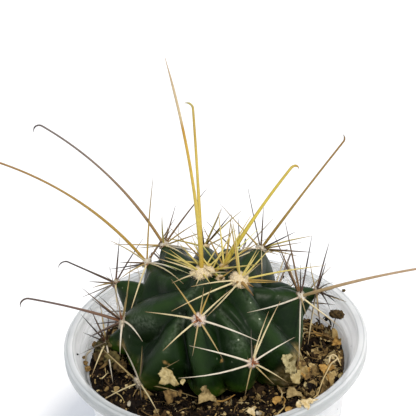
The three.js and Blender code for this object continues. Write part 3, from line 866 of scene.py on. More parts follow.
# Areoles: place as azimuth, angle from the top and reach; wool as radius and tone; radials as
# azimuth, elevation, length, tone and bend; centrals as first and last aim, length, hook angle,
# width, tone and the way the hook bends
areoles = {
    "crownLeft": {
        "at": (-131, 13, 17.7), "wool": (1.95, "butter"),
        "lumps": [((0.55, 0.35, 0.0), 0.8), ((-0.6, -0.45, 0.1), 0.62), ((0.3, -0.6, 0.05), 0.6)],
        "radials": [
            (52, 29, 9, "yellow", 0), (144, 15, 6, "yellow", 0), (-77, 13, 8, "yellow", 0.2),
            (-102, 8, 7, "cream", 0), (170, 25, 9, "yellow", 0.3), (10, 40, 8, "yellow", 0),
            (-170, 29, 11, "cream", 0.2), (-146, 4, 8, "cream", 0.3), (-159, 43, 12, "yellow", 0.2),
            (-37, 19, 8, "cream", 0),
        ],
        "centrals": [
            (85, 83, 141, 74, 48.5, 0, 0.86, "youngLong", None),
            (88, 55, 92, 55, 37.4, 100, 0.80, "youngHooked", (-1, 0, 0)),
        ],
    },
    "crownMiddle": {
        "at": (-19, 8, 17.5), "wool": (1.05, "amber"),
        "radials": [
            (70, 40, 9, "yellow", 0), (130, 50, 10, "golden", 0), (-20, 45, 9, "yellow", 0),
            (95, 62, 12, "yellow", 0.2),
        ],
        "centrals": [(40, 44, 32, 38, 27, 110, 0.9, "youngGreen", None)],
    },
    "crownBud": {
        "at": (-75, 17, 17.5), "wool": (0.95, "amber"),
        "radials": [
            (-75, 35, 3.2, "scale", 0), (-10, 40, 4.5, "golden", 0), (165, 35, 4.5, "golden", 0),
        ],
    },
    "crownRight": {
        "at": (-46, 26, 18.2), "wool": (2.1, "butter"),
        "radials": [
            (2, 7, 19, "yellow", 0.5), (-141, 3, 19, "cream", 0.4), (-119, 1, 15.5, "cream", 0),
            (-142, 18, 14, "cream", 0.3), (-9, 0, 9.5, "golden", 0.3), (-12, 2, 9, "golden", -0.2),
            (54, 22, 9, "yellow", 0), (97, 45, 14.5, "golden", 0.4), (20, 40, 10, "yellow", 0),
            (-70, 4, 7.5, "scale", 0.3), (-35, -8, 3.6, "scale", 0.2), (-110, 22, 3.2, "scale", 0),
            (159, 86, 15, "yellow", 0.3), (2, 62, 9, "yellow", 0), (-38, 48, 9, "cream", 0),
            (94, 35, 14, "lime", 0),
        ],
    },
    "frontUpper": {
        "at": (-104, 50, 20.4), "wool": (1.5, "rose"),
        "radials": [
            (174, 10, 11.5, "cream", 0.2), (173, 10, 5, "white", 0), (138, 46, 10.5, "golden", 0.2),
            (63, 62, 7, "tan", 0), (37, 58, 7.5, "golden", 0), (7, 42, 10, "cream", 0.2),
            (-31, -5, 15, "white", 0.3), (-61, -25, 10.5, "tan", 0), (-105, -36, 8, "tan", 0),
            (-150, -25, 10, "cream", 0.2),
        ],
        "stubs": [(-118, 58, 2.7), (-72, 22, 2.5), (-122, 14, 2.5), (-95, 40, 2.4)],
    },
    "frontLower": {
        "at": (-71, 77, 22.1), "wool": (1.1, "rose"),
        "radials": [
            (-161, 32, 16, "white", 0.3), (-156, 8, 17, "white", -0.7), (22, 63, 15, "cream", 0.4),
            (20, 71, 12.5, "cream", 0.3), (-95, 87, 9, "grey", 0), (12, 26, 10.5, "white", 0.2),
            (-5, -35, 9, "cream", 0.3), (-12, -49, 7, "tan", 0), (-119, -55, 7, "tan", 0.2),
        ],
        "stubs": [(-62, 42, 2.3), (-92, 18, 2.0), (-40, 15, 2.0), (-75, 65, 2.4)],
    },
    "leftLowest": {
        "at": (-148, 105, 22), "wool": (1.3, "dusty"),
        "lumps": [((0.0, 0.7, 0.1), 0.75)],
        "radials": [
            (149, 35, 12.5, "tan", 0), (-125, 72, 13.5, "white", 0.3), (-65, 72, 13.5, "tan", 0.2),
            (-63, 69, 11.5, "grey", 0), (-41, 43, 17.5, "tan", 0), (-36, 9, 16.5, "tan", 0.3),
            (-84, 6, 7, "grey", 0), (-68, 0, 12.5, "cream", 0.2), (-140, 5, 11, "cream", 0.4),
        ],
    },
    "leftMiddle": {
        "at": (-173, 76, 22.1), "wool": (1.35, "dusty"),
        "lumps": [((0.0, 0.8, 0.1), 0.75), ((0.0, -0.7, 0.1), 0.7)],
        "radials": [
            (106, 40, 13.5, "grey", 0.2), (138, -38, 11, "dark", 0), (-64, 7, 11.5, "white", 0.9),
            (-91, -9, 10.5, "white", 0), (42, 74, 14.5, "tan", 0), (-64, 64, 13, "tan", 0.2),
            (150, -20, 9, "dark", 0), (125, 10, 11, "grey", 0.3), (-95, 60, 5, "stub", 0),
            (-142, 0, 9, "dark", 0), (-160, -12, 8, "brown", 0.2), (-150, 52, 11, "dark", 0),
            (170, 45, 12, "brown", 0),
        ],
        "centrals": [(-169, 31, -165, 24, 22.5, 120, 0.62, "plum", None)],
    },
    "leftUpper": {
        "at": (145, 57, 22.7), "wool": (1.35, "pearl"),
        "radials": [
            (-108, -24, 15.5, "cream", 1.1), (-124, 29, 11.5, "brown", 0), (-135, 18, 12, "dark", 0),
            (138, -30, 12.5, "grey", 0), (-61, 11, 18.5, "cream", 0.8), (-56, 17, 19, "lime", 0.6),
            (-59, 19, 15, "white", 0.5), (-135, 46, 15, "cream", 0.4), (51, 32, 13, "brown", 0.2),
            (66, 71, 20.5, "golden", 0), (90, -20, 12, "tan", 0), (-120, 10, 12.5, "tan", 0.3),
            (35, 40, 10, "brown", 0.2),
        ],
        "centrals": [(168, 56, -170, 24, 48.1, 110, 0.66, "russet", None)],
    },
    "leftOuter": {
        "at": (163, 68, 26), "wool": (0.9, "dusty"),
        "radials": [
            (86, 28, 12.5, "dark", 0), (61, 21, 14, "dark", 0), (-116, 32, 12.5, "brown", 0),
            (-112, 26, 12, "tan", 0.2), (-114, 10, 12, "grey", 0.3), (-85, -21, 8, "cream", 0),
            (98, -40, 12, "grey", 0), (160, -30, 11, "grey", 0),
        ],
        "centrals": [(-156, 40, -156, 40, 14, 110, 0.5, "slate", None)],
    },
    "backLeft": {
        "at": (130, 49, 23.5), "wool": (1.2, "pearl"),
        "radials": [
            (28, 43, 17, "brown", 0.2), (45, -9, 14.5, "golden", 0), (-37, 7, 8, "white", 0.4),
            (-46, 13, 9.5, "white", 0), (-32, -2, 10, "white", 0.3), (87, -8, 13, "tan", 0),
            (-56, 18, 15, "white", 0.4), (-66, 16, 14, "cream", 0.4),
            (-86, 64, 12, "yellow", 0), (130, -25, 12, "tan", 0), (180, 5, 12, "golden", 0),
            (60, 50, 10, "brown", 0), (20, 25, 10, "golden", 0.2),
        ],
        "centrals": [(145, 56, 171, 33, 40.5, 130, 0.64, "ashen", None)],
    },
    "backMiddle": {
        "at": (98, 44, 19.9), "wool": (1.3, "butter"),
        "radials": [
            (-27, 54, 12.5, "brown", 0), (-40, 64, 13.5, "yellow", 0), (-9, 47, 13.5, "yellow", 0.3),
            (-95, 65, 13, "dark", 0), (49, -5, 12.5, "tan", 0), (150, 0, 12, "yellow", 0.2),
            (100, -30, 12, "tan", 0), (60, 30, 11, "grey", 0),
        ],
    },
    "backRight": {
        "at": (47, 51, 21.7), "wool": (1.35, "pearl"),
        "radials": [
            (-43, 38, 13, "dark", 0), (-29, 26, 14.5, "yellow", 0.3), (4, -10, 12.5, "brown", 0),
            (-82, 72, 14, "brown", 0), (176, 81, 16.5, "grey", 0), (147, 42, 14.5, "golden", 0),
            (-123, -2, 10, "cream", 0.2), (-93, -13, 10.5, "cream", 0), (60, -35, 12, "tan", 0),
            (110, 0, 12, "cream", 0), (-150, 12, 13, "cream", 0.3), (-20, 5, 7, "brown", 0),
            (-15, 15, 10, "golden", 0), (20, -25, 11, "tan", 0.2), (-131, 22, 15, "white", 0.3),
            (-122, 17, 16, "cream", 0.4), (-125, 30, 12, "white", 0), (-93, 2, 13, "cream", 0.6),
        ],
        "centrals": [(-11, 57, -11, 55, 34, 70, 0.62, "orange", (-0.3, 0, 1))],
    },
    "rightUpper": {
        "at": (-8, 64, 21.6), "wool": (1.2, "pearl"),
        "radials": [
            (111, 65, 17.5, "brown", 0), (-95, 79, 9.5, "dark", 0), (-134, 16, 19, "white", -0.4),
            (-98, -28, 16, "white", 0.3), (-90, 11, 12.5, "tan", 0), (148, 66, 16, "brown", 0),
            (41, -16, 12, "brown", 0), (-30, -30, 11, "cream", 0), (125, 50, 12, "dark", 0),
            (60, 62, 14, "dark", 0.2),
        ],
        "centrals": [(-24, 29, -27, 20, 37.5, 110, 0.66, "rose", None)],
    },
    "rightOuter": {
        "at": (9, 75, 24.8), "wool": (1.0, "dusty"),
        "radials": [
            (-56, 71, 10, "dark", 0), (-65, 19, 10, "dark", 0), (-106, -27, 14, "cream", 0.3),
            (-68, 41, 10, "grey", 0.5), (90, 3, 12.5, "tan", 0), (60, 50, 12, "dark", 0),
            (30, -35, 11, "tan", 0), (-95, -5, 9, "tan", 0), (-75, 0, 8, "dark", 0.8),
            (-82, 29, 10, "dark", 0.9), (-68, 13, 9, "dark", 0.5), (-104, -10, 9.5, "grey", 0),
            (-92, -20, 10, "brown", 0.2),
        ],
    },
    "leftFoot": {
        "at": (176, 97, 26.5), "wool": (0.9, "dusty"),
        "radials": [
            (-81, -20, 9, "grey", 0), (-107, -14, 10, "cream", 0.3), (-115, 21, 12, "grey", 0),
            (100, 30, 11, "tan", 0), (-125, 45, 10, "dark", 0), (-135, 61, 12.5, "dark", 0),
            (-80, -15, 12, "white", 0.3), (-150, 75, 11, "brown", 0), (-60, 70, 10, "dark", 0.2),
        ],
    },
}

# Areoles of the far side: place, then length and elevation of the central
farAreoles = [
    (72, 72, 22.5, 10, 0), (27, 92, 22.8, 0, 0), (114, 88, 22.8, 12, 15),
    (50, 101, 22, 13, 40), (93, 101, 22, 13, 40), (142, 98, 22.5, 0, 0),
]

spines = {
    "seed": 41,
    "rootDepth": 1.2,
    "sides": {"radialSpines": 7, "centralSpines": 10, "youngSpines": 6},
    "roughness": 0.42,
    "radialPoints": 7,
    "radialGirth": 1.12,
    "radialTaper": 0.86,
    "finestRadial": 0.035,
    "girthSpread": (0.88, 1.12),
    "toneSpread": (0.85, 1.12),
    "sway": 0.18,  # sideways, for a spine of the usual length
    "usualLength": 12,
    "centralPoints": 22,
    "centralGirth": 1.2,
    "centralTaper": 0.42,
    "finestCentral": 0.05,
    "centralShade": 0.94,
    "hookRadius": 1.5,
    "hookPoints": 9,
    "youngCount": 15,
    "youngReach": 17.2,
    "youngLength": (7.0, 13.5),
    "youngTones": ["yellow", "yellow", "lime", "golden"],
    "farCount": 9,
    "farLength": 11.0,
    "farLengthStep": 1.5,  # how much longer each step of three is
    "farLifts": (0.35, 0.2),
    "farTones": ["cream", "tan", "white", "brown"],
    "farLowest": 55.5,
    "farBend": 0.2,
    "farTurn": 13,  # degrees from one wheel of radials to the next
    "farSwing": (12, -5),  # how far a central's aim turns, round and up
    "farHook": 120,
    "farWidth": 0.62,
}

chance = random.Random(spines["seed"])


class Bundle:
    # gathers lines with a width and a colour at each point
    def __init__(self):
        self.points, self.edges, self.radii, self.colours = [], [], [], []

    def add(self, path, radii, colours):
        start = len(self.points)
        self.points += path
        self.radii += radii
        self.colours += colours
        self.edges += [(start + i, start + i + 1) for i in range(len(path) - 1)]

    def mesh(self, name):
        mesh = meshFrom(name, self.points, [], self.edges)
        storeFloats(mesh, "radius", [r * mm for r in self.radii])
        return withTones(mesh, self.colours)


def shade(colour, amount):
    return tuple(clamped(c * amount) for c in colour)


def addRadial(bundle, site, way, length, tone, bend):
    stops, width = tones[tone]
    count = spines["radialPoints"]
    width *= spines["radialGirth"] * chance.uniform(*spines["girthSpread"])
    glow = chance.uniform(*spines["toneSpread"])
    side = way.cross(Vector((0.2, 0.1, 1))).normalized()
    lift = side.cross(way)
    sway = chance.uniform(-spines["sway"], spines["sway"]) * length / spines["usualLength"]
    path, radii, colours = [], [], []
    for i in range(count):
        t = i / (count - 1)
        arch = math.sin(math.pi * t)
        along = length * t - spines["rootDepth"] * (1 - t)
        path.append(site + way * along + lift * bend * arch + side * sway * arch)
        foot = 1.12 - 0.25 * min(1, t * 6)
        taper = 1 - spines["radialTaper"] * t ** 2.2
        radii.append(max(spines["finestRadial"], width / 2 * foot * taper))
        colours.append(shade(blendTones(stops, t), glow))
    bundle.add(path, radii, colours)


def addCentral(bundle, site, first, last, length, hook, width, stops, towards):
    start, end = aim(*first), aim(*last)
    swing = start.rotation_difference(end)
    count = spines["centralPoints"]
    path = [site - start * spines["rootDepth"], site.copy()]
    way = start.copy()
    for i in range(count):
        way = Quaternion().slerp(swing, (i + 0.5) / count) @ start
        path.append(path[-1] + way * length / count)
    axis = way.cross(Vector(towards or (0, 0, -1))).normalized()
    hookSteps = spines["hookPoints"] if hook else 0
    bend = math.radians(hook) / max(1, hookSteps)
    for i in range(hookSteps):
        way = Quaternion(axis, bend) @ way
        path.append(path[-1] + way * spines["hookRadius"] * bend)
    radii, colours = [], []
    girth = width / 2 * spines["centralGirth"]
    for i in range(len(path)):
        t = i / (len(path) - 1)
        swell = 0.82 + 0.18 * math.sin(math.pi * min(1, t * 2.2 + 0.1))
        taper, point = 1 - spines["centralTaper"] * t, min(1, (1 - t) * 7 + 0.16)
        radii.append(max(spines["finestCentral"], girth * swell * taper * point))
        colours.append(shade(blendTones(stops, t), spines["centralShade"]))
    bundle.add(path, radii, colours)


def siteOf(place):
    azimuth, polar, reach = place
    return heart + fromTop(azimuth, polar) * reach


def wheelWays(azimuth, polar, turn):
    # a wheel of radials round an areole: their ways and lengths
    out = fromTop(azimuth, polar)
    rise = (Vector((0, 0, 1)) - out * out.z).normalized()
    side = rise.cross(out)
    for i in range(spines["farCount"]):
        clock = math.radians(turn + 360 * i / spines["farCount"])
        way = out * spines["farLifts"][i % 2] + rise * math.cos(clock) + side * math.sin(clock)
        yield way.normalized(), spines["farLength"] + spines["farLengthStep"] * (i % 3)


# Sweeps a round section along each line, as thick as the line says
def makeSweep():
    tree, given = startTree("sweep", [("Sides", "Int", 6)])
    line = addNode(tree, "GeometryNodeMeshToCurve", {"Mesh": given["Geometry"]}).outputs[0]
    endTree(tree, given, tube(tree, line, given["Sides"], named(tree, "radius")))
    return tree


sweep = makeSweep()


def makeSpineMaterial():
    material, tree, paint = newMaterial("spine")
    tone = attributeOf(tree, "tone", "Color")
    fine = placeGroup(tree, mottle, scale=1300.0, detail=3.0, low=0.3, high=0.7)
    plug(tree, paint, {
        "Base Color": tinted(tree, tone, fine, 0.28, "8a7448", "MULTIPLY"),
        "Roughness": spines["roughness"],
        "Specular IOR Level": 0.45,
        "Normal": bump(tree, fine, 0.2, 0.05),
    })
    return material


def addSeenSpines(radials, centrals):
    for areole in areoles.values():
        site = siteOf(areole["at"])
        for azimuth, elevation, length, tone, bend in areole["radials"]:
            addRadial(radials, site, aim(azimuth, elevation), length, tone, bend)
        for azimuth, elevation, length in areole.get("stubs", []):
            addRadial(radials, site, aim(azimuth, elevation), length, "stub", 0)
        for a0, e0, a1, e1, length, hook, width, tone, towards in areole.get("centrals", []):
            stops = centralTones[tone]
            addCentral(centrals, site, (a0, e0), (a1, e1), length, hook, width, stops, towards)


def addFarSpines(radials, centrals):
    stops, hook, width = centralTones["ashen"], spines["farHook"], spines["farWidth"]
    turn, rise = spines["farSwing"]
    for i, (azimuth, polar, reach, length, elevation) in enumerate(farAreoles):
        site = siteOf((azimuth, polar, reach))
        for way, spineLength in wheelWays(azimuth, polar, spines["farTurn"] * i):
            if site.z + spineLength * way.z > spines["farLowest"]:
                tone = chance.choice(spines["farTones"])
                addRadial(radials, site, way, spineLength, tone, spines["farBend"])
        if length:
            first, last = (azimuth, elevation), (azimuth + turn, elevation + rise)
            addCentral(centrals, site, first, last, length, hook, width, stops, None)


def addYoungSpines(young):
    # strewn over the crown; the order of the draws decides which spine goes where
    for i in range(spines["youngCount"]):
        site = siteOf((chance.uniform(0, 360), chance.uniform(2, 15), spines["youngReach"]))
        way = aim(chance.uniform(-30, 200), chance.uniform(18, 74))
        length = chance.uniform(*spines["youngLength"])
        tone = chance.choice(spines["youngTones"])
        addRadial(young, site, way, length, tone, chance.uniform(-0.2, 0.5))


def makeSpines():
    bundles = {name: Bundle() for name in spines["sides"]}
    radials, centrals, young = bundles.values()
    addSeenSpines(radials, centrals)
    addFarSpines(radials, centrals)
    addYoungSpines(young)
    material = makeSpineMaterial()
    return [
        grow(name, bundle.mesh(name), sweep, material, {"Sides": spines["sides"][name]})
        for name, bundle in bundles.items()
    ]


for piece in makeSpines():
    settle(piece, "cactus", "cactus")
print("stage: spines")


# Wool: a lumpy felted pad in each areole, with short hairs over it
woolTones = {
    "butter": ("e8d3a4", "c9a764"),
    "rose": ("dccabd", "a97a62"),
    "pearl": ("dcd6c8", "ad9c80"),
    "dusty": ("b8ab92", "7c6a4c"),
    "amber": ("cfae6c", "8f6a34"),
}

wool = {
    "seed": 7,
    "flatness": 0.6,
    # as a share of the pad's radius
    "rise": {"butter": 0.12, "rose": -0.12, "pearl": 0.1, "dusty": 0.05, "amber": 0.0},
    "lumps": 0.2,
    "fineness": 4,
    "hairs": 9.0,  # per square millimetre
    "hairLength": 0.58,
    "hairSpread": (0.5, 1.15),
    "hairWidth": 0.045,
    "hairLean": 0.9,
}


def makeWoolMesh():
    ball = bmesh.new()
    tone = ball.verts.layers.float_color.new("tone")
    for index, areole in enumerate(areoles.values()):
        radius, toneName = areole["wool"]
        pale, deep = (tint(code) for code in woolTones[toneName])
        rise = wool["rise"][toneName]
        out = fromTop(*areole["at"][:2])
        site = siteOf(areole["at"])
        turn = out.to_track_quat("Z", "Y").to_matrix()
        for offset, size in [((0, 0, 0), 1.0)] + areole.get("lumps", []):
            shift = Vector(offset) * radius
            fineness = wool["fineness"]
            for vert in bmesh.ops.create_icosphere(ball, subdivisions=fineness, radius=1)["verts"]:
                way = vert.co.normalized()
                bulge = noise.fractal(way * 2.6 + Vector((index * 7, 0, 0)), 1.0, 2.0, 4)
                place = way * radius * size * (1 + wool["lumps"] * bulge)
                place.z *= wool["flatness"]
                vert.co = (site + turn @ (place + shift) + out * rise * radius) * mm
                mix = clamped(0.45 + bulge * 0.7 - 0.45 * way.z)
                vert[tone] = (*between(pale, deep, mix), 1)
    return meshOf("woolPads", ball)


def makeWoolMaterial():
    material, tree, paint = newMaterial("areoleWool")
    fine = placeGroup(tree, mottle, scale=2600.0, detail=5.0, low=0.3, high=0.72)
    plug(tree, paint, {
        "Base Color": tinted(tree, attributeOf(tree, "tone", "Color"), fine, 0.5, "fff4dc"),
        "Roughness": 0.95,
        "Specular IOR Level": 0.1,
        "Sheen Weight": 0.4,
        "Sheen Roughness": 0.5,
        "Normal": bump(tree, fine, 0.9, 0.25),
    })
    return material


# Short bent hairs standing over a felted surface
def makeHairTree():
    sizes = [("Density", "Float", 1e6), ("Length", "Float", 0.0008), ("Width", "Float", 0.00004),
             ("Seed", "Int", 1)]
    tree, given = startTree("woolHairs", sizes)
    spread = scattered(tree, given, given["Density"])
    line = bentLine(tree, 3, (0, 0, -0.2), (0, 0, 0.5), (0.55, 0, 0.85))
    along = addNode(tree, "GeometryNodeSplineParameter").outputs["Factor"]
    relative = maths(tree, "DIVIDE", given["Width"], given["Length"])
    taper = maths(tree, "MULTIPLY", relative, maths(tree, "SUBTRACT", 1.1, along))
    hair = tube(tree, line, 3, taper)
    lean = wool["hairLean"]
    low, high = (-lean, -lean, 0.0), (lean, lean, math.tau)
    turn = turnedBy(tree, spread["Rotation"], low, high, given["Seed"])
    draw = randomFloat(tree, *wool["hairSpread"], given["Seed"])
    size = maths(tree, "MULTIPLY", draw, given["Length"])
    endTree(tree, given, copiesOn(tree, spread["Points"], hair, turn, size))
    return tree


def makeWool():
    material = makeWoolMaterial()
    pads = addPiece("woolPads", makeWoolMesh(), material)
    values = {"Density": wool["hairs"] / mm ** 2, "Length": wool["hairLength"] * mm,
              "Width": wool["hairWidth"] * mm, "Seed": wool["seed"]}
    return pads, grow("woolHairs", pads.data.copy(), makeHairTree(), material, values)


for piece in makeWool():
    settle(piece, "cactus", "cactus")
print("stage: wool")


# Soil: a dug-over bed of coarse peat, lower behind on the right. Mounds and hollows are place,
# reach and rise
soil = {
    "level": 54.4,
    "radius": 29.6,
    "bottom": 3.0,
    "wallGap": 0.12,
    "rings": 96,
    "sectors": 240,
    "lumps": 0.75,
    "mounds": [((22, 20), 12, -3.6), ((26, 0), 6, 0.8), ((20, -14), 8, 0.7), ((0, -26), 9, 0.5)],
    "seed": 5,
    "colours": [(0.0, "050302"), (0.4, "140c06"), (0.7, "2f2011"), (1.0, "6a5232")],
    "clodColour": "0a0603",
}


def soilHeight(x, y):
    place = Vector((x, y, soil["seed"]))
    rolling = noise.noise(place * 0.13)
    clods = noise.fractal(place * 0.42, 0.9, 2.1, 4)
    grit = noise.fractal(place * 1.3, 0.9, 2.1, 3)
    slope = 0
    for (middleX, middleY), reach, rise in soil["mounds"]:
        away = math.hypot(x - middleX, y - middleY) / reach
        slope += rise * math.exp(-away ** 2)
    return soil["level"] + slope + soil["lumps"] * (0.8 * rolling + 0.75 * clods + 0.35 * grit)


def makeSoilMesh():
    # rings from the middle of the top outwards, then one ring and a middle at the bottom
    rings, sectors, bottom = soil["rings"], soil["sectors"], soil["bottom"]
    turns = [math.tau * k / sectors for k in range(sectors)]

    def wallRadius(z):
        return potRadius(z) - pot["wall"] - soil["wallGap"]

    points = [(0, 0, soilHeight(0, 0))]
    for i in range(1, rings + 1):
        r = soil["radius"] * i / rings
        for turn in turns:
            x, y = r * math.cos(turn), r * math.sin(turn)
            z = soilHeight(x, y)
            if i == rings:
                limit = wallRadius(z)
                x, y = x * limit / r, y * limit / r
            points.append((x, y, z))
    r = wallRadius(bottom)
    points += [(r * math.cos(turn), r * math.sin(turn), bottom) for turn in turns]
    points.append((0, 0, bottom))
    middle = len(points) - 1
    faces = []
    for k in range(sectors):
        a, b = 1 + k, 1 + (k + 1) % sectors
        faces.append((0, a, b))
        for start in range(0, rings * sectors, sectors):
            c, d = a + start, b + start
            faces.append((c, c + sectors, d + sectors, d))
        faces.append((middle, d + sectors, c + sectors))
    return meshFrom("soilBed", points, faces)


def makePeat():
    material, tree, paint = newMaterial("peat")
    grain = placeGroup(tree, mottle, scale=800.0, detail=6.0, low=0.25, high=0.75)
    clod = placeGroup(tree, mottle, scale=260.0, detail=3.0, low=0.35, high=0.65)
    tone = ramp(tree, grain, soil["colours"])
    plug(tree, paint, {
        "Base Color": tinted(tree, tone, clod, 0.5, soil["clodColour"]),
        "Roughness": 0.95,
        "Specular IOR Level": 0.15,
        "Normal": bump(tree, grain, 1.0, 0.6),
    })
    return material


soilBed = addPiece("soilBed", makeSoilMesh(), makePeat())
settle(soilBed, "soil", "soil")
print("stage: soil bed")


# Litter: crumbs, bark chips and fibres strewn over the bed, paler and coarser on the right.
# Densities are for a square metre
litter = {
    "soilCrumbs": {"Density": 0.9e6, "Size": 0.55, "Flatness": 0.6, "Curl": 0.0, "Jag": 0.5,
                   "Detail": 2, "Tilt": 0.9, "Seed": 3},
    "soilGrit": {"Density": 2.0e6, "Size": 0.27, "Flatness": 0.7, "Curl": 0.0, "Jag": 0.24,
                 "Detail": 1, "Tilt": 0.9, "Seed": 8},
    "soilChips": {"Density": 0.34e6, "Size": 1.15, "Flatness": 0.16, "Curl": 0.7, "Jag": 0.9,
                  "Detail": 2, "Tilt": 1.0, "Seed": 21},
    "soilBark": {"Density": 0.42e6, "Size": 1.5, "Flatness": 0.12, "Curl": 1.1, "Jag": 1.3,
                 "Detail": 2, "Tilt": 1.3, "Seed": 34},
    "soilFibres": {"Density": 0.26e6, "Length": 3.4, "Width": 0.10, "Seed": 13},
    "innerLimit": 16.0,
    "outerLimit": 29.4,
    "overhang": 0.45,
    "squareSize": 0.8,
    "squares": 38,  # each way from the middle
    "brightness": (0.30, 0.028),  # in the middle, and how much more for each millimetre to the right
    "narrowness": 0.62,
    "fibreLift": 0.35,
    "fibreWarp": 1.4,
    "colours": [(0.0, "070402"), (0.2, "191009"), (0.42, "443320"), (0.62, "7c643c"), (0.8, "b39a66"),
                (0.96, "e0d0a2")],
}


def brightness(x, y):
    # how pale the litter is: dark on the left, tan on the right; the dark left is partly painted shade
    # from the body and partly darker peat
    middle, slope = litter["brightness"]
    return clamped(middle + slope * x + 0.10 * noise.noise(Vector((x, y, 3)) * 0.25))


def barkShare(x, y):
    return clamped(0.10 + (x - 12) / 14) * clamped((y + 18) / 9 + 0.4)


def makeBedSeed(name, share):
    # the bed's top as a grid of small squares, with how much lies on each
    points, faces, amounts, brights = [], [], [], []
    step, half = litter["squareSize"], litter["squares"]
    for i in range(-half, half + 1):
        for k in range(-half, half + 1):
            x, y = i * step, k * step
            points.append((x, y, soilHeight(x, y)))
            r = math.hypot(x, y)
            inside = litter["innerLimit"] < r < litter["outerLimit"]
            amounts.append(share(x, y) if inside else 0)
            brights.append(brightness(x, y))
    row = 2 * half + 1
    for i in range(row - 1):
        for k in range(row - 1):
            a = i * row + k
            faces.append((a, a + row, a + row + 1, a + 1))
    mesh = meshFrom(name, points, faces)
    storeFloats(mesh, "amount", amounts)
    storeFloats(mesh, "bright", brights)
    return mesh


def strewnPoints(tree, given):
    # points over the bed, each with a tone that leans towards pale where the bed is bright
    density = maths(tree, "MULTIPLY", given["Density"], named(tree, "amount"))
    spread = scattered(tree, given, density)
    # darker tones where the bed is less bright, which carries the painted shade on the left
    power = mapped(tree, named(tree, "bright"), 0.0, 1.0, 3.3, 0.85)
    tone = maths(tree, "POWER", randomFloat(tree, 0.0, 1.0, given["Seed"]), power)
    inputs = {"Geometry": spread["Points"], "Name": "tone", "Value": tone}
    stored = addNode(tree, "GeometryNodeStoreNamedAttribute", inputs, data_type="FLOAT")
    return stored.outputs[0], spread["Rotation"]


def realCopies(tree, points, instance, rotation, scale):
    strewn = copiesOn(tree, points, instance, rotation, scale)
    return addNode(tree, "GeometryNodeRealizeInstances", {"Geometry": strewn}).outputs[0]


def keptInside(tree, geometry, limit):
    # pulls what would reach through the pot's wall back to it
    place = positionOf(tree)
    length = vectorMaths(tree, "LENGTH", flattened(tree, place))
    share = maths(tree, "MINIMUM", 1.0, maths(tree, "DIVIDE", limit, length))
    pulled = vectorMaths(tree, "MULTIPLY", place, joined(tree, share, share, 1.0))
    return moved(tree, geometry, "Position", pulled)


def warped(tree, geometry, amount, fineness):
    inputs = {"Vector": positionOf(tree), "Scale": fineness, "Detail": 2.0}
    cloud = addNode(tree, "ShaderNodeTexNoise", inputs).outputs["Color"]
    shift = vectorMaths(tree, "SUBTRACT", cloud, (0.5, 0.5, 0.5))
    return moved(tree, geometry, "Offset", vectorMaths(tree, "SCALE", shift, scale=amount))


def makeFlakeTree():
    # a flake is a ball made flat and narrow, curled along its length and jagged
    sizes = [("Density", "Float", 1e6), ("Size", "Float", 0.0005), ("Flatness", "Float", 0.5),
             ("Curl", "Float", 0.0), ("Jag", "Float", 0.0002), ("Detail", "Int", 2),
             ("Tilt", "Float", 0.8), ("Limit", "Float", 0.03), ("Seed", "Int", 1)]
    tree, given = startTree("flakes", sizes)
    points, rotation = strewnPoints(tree, given)
    inputs = {"Radius": 1.0, "Subdivisions": given["Detail"]}
    ball = addNode(tree, "GeometryNodeMeshIcoSphere", inputs).outputs[0]
    parts = addNode(tree, "ShaderNodeSeparateXYZ", {"Vector": positionOf(tree)}).outputs
    rise = maths(tree, "MULTIPLY", maths(tree, "MULTIPLY", parts[0], parts[0]), given["Curl"])
    z = maths(tree, "ADD", maths(tree, "MULTIPLY", parts[2], given["Flatness"]), rise)
    y = maths(tree, "MULTIPLY", parts[1], litter["narrowness"])
    flake = moved(tree, ball, "Position", joined(tree, parts[0], y, z))
    most = joined(tree, given["Tilt"], given["Tilt"], math.tau)
    least = vectorMaths(tree, "SCALE", most, scale=-1.0)
    lean = turnedBy(tree, rotation, least, most, given["Seed"])
    draw = randomFloat(tree, 0.0, 1.0, maths(tree, "ADD", given["Seed"], 17.0))
    spread = maths(tree, "MULTIPLY", maths(tree, "POWER", draw, 2.0), 1.1)
    scale = maths(tree, "MULTIPLY", maths(tree, "ADD", 0.5, spread), given["Size"])
    jagged = warped(tree, realCopies(tree, points, flake, lean, scale), given["Jag"], 1100.0)
    endTree(tree, given, keptInside(tree, jagged, given["Limit"]), smooth=False)
    return tree


def makeFibreTree():
    sizes = [("Density", "Float", 1e5), ("Length", "Float", 0.003), ("Width", "Float", 0.0001),
             ("Limit", "Float", 0.03), ("Seed", "Int", 1)]
    tree, given = startTree("fibres", sizes)
    points, rotation = strewnPoints(tree, given)
    line = bentLine(tree, 7, (-0.5, 0, 0.0), (0.05, 0.42, 0.3), (0.5, -0.05, 0.04))
    relative = maths(tree, "DIVIDE", given["Width"], given["Length"])
    strand = tube(tree, line, 4, relative)
    lean = turnedBy(tree, rotation, (-0.3, -0.3, 0.0), (0.3, 0.3, math.tau), given["Seed"])
    draw = randomFloat(tree, 0.4, 1.5, maths(tree, "ADD", given["Seed"], 5.0))
    size = maths(tree, "MULTIPLY", draw, given["Length"])
    real = realCopies(tree, points, strand, lean, size)
    bent = warped(tree, real, litter["fibreWarp"] * mm, 420.0)
    raised = moved(tree, bent, "Offset", (0, 0, litter["fibreLift"] * mm))
    endTree(tree, given, keptInside(tree, raised, given["Limit"]))
    return tree


def makeLitterMaterial():
    material, tree, paint = newMaterial("barkLitter")
    tone = maths(tree, "MULTIPLY", attributeOf(tree, "tone"), 0.82)
    grain = placeGroup(tree, mottle, scale=1400.0, detail=5.0, low=0.25, high=0.75)
    place = maths(tree, "ADD", tone, maths(tree, "MULTIPLY", grain, 0.18))
    plug(tree, paint, {
        "Base Color": ramp(tree, place, litter["colours"]),
        "Roughness": 0.9,
        "Specular IOR Level": 0.2,
        "Normal": bump(tree, grain, 0.7, 0.2),
    })
    return material


barkMaterial = makeLitterMaterial()


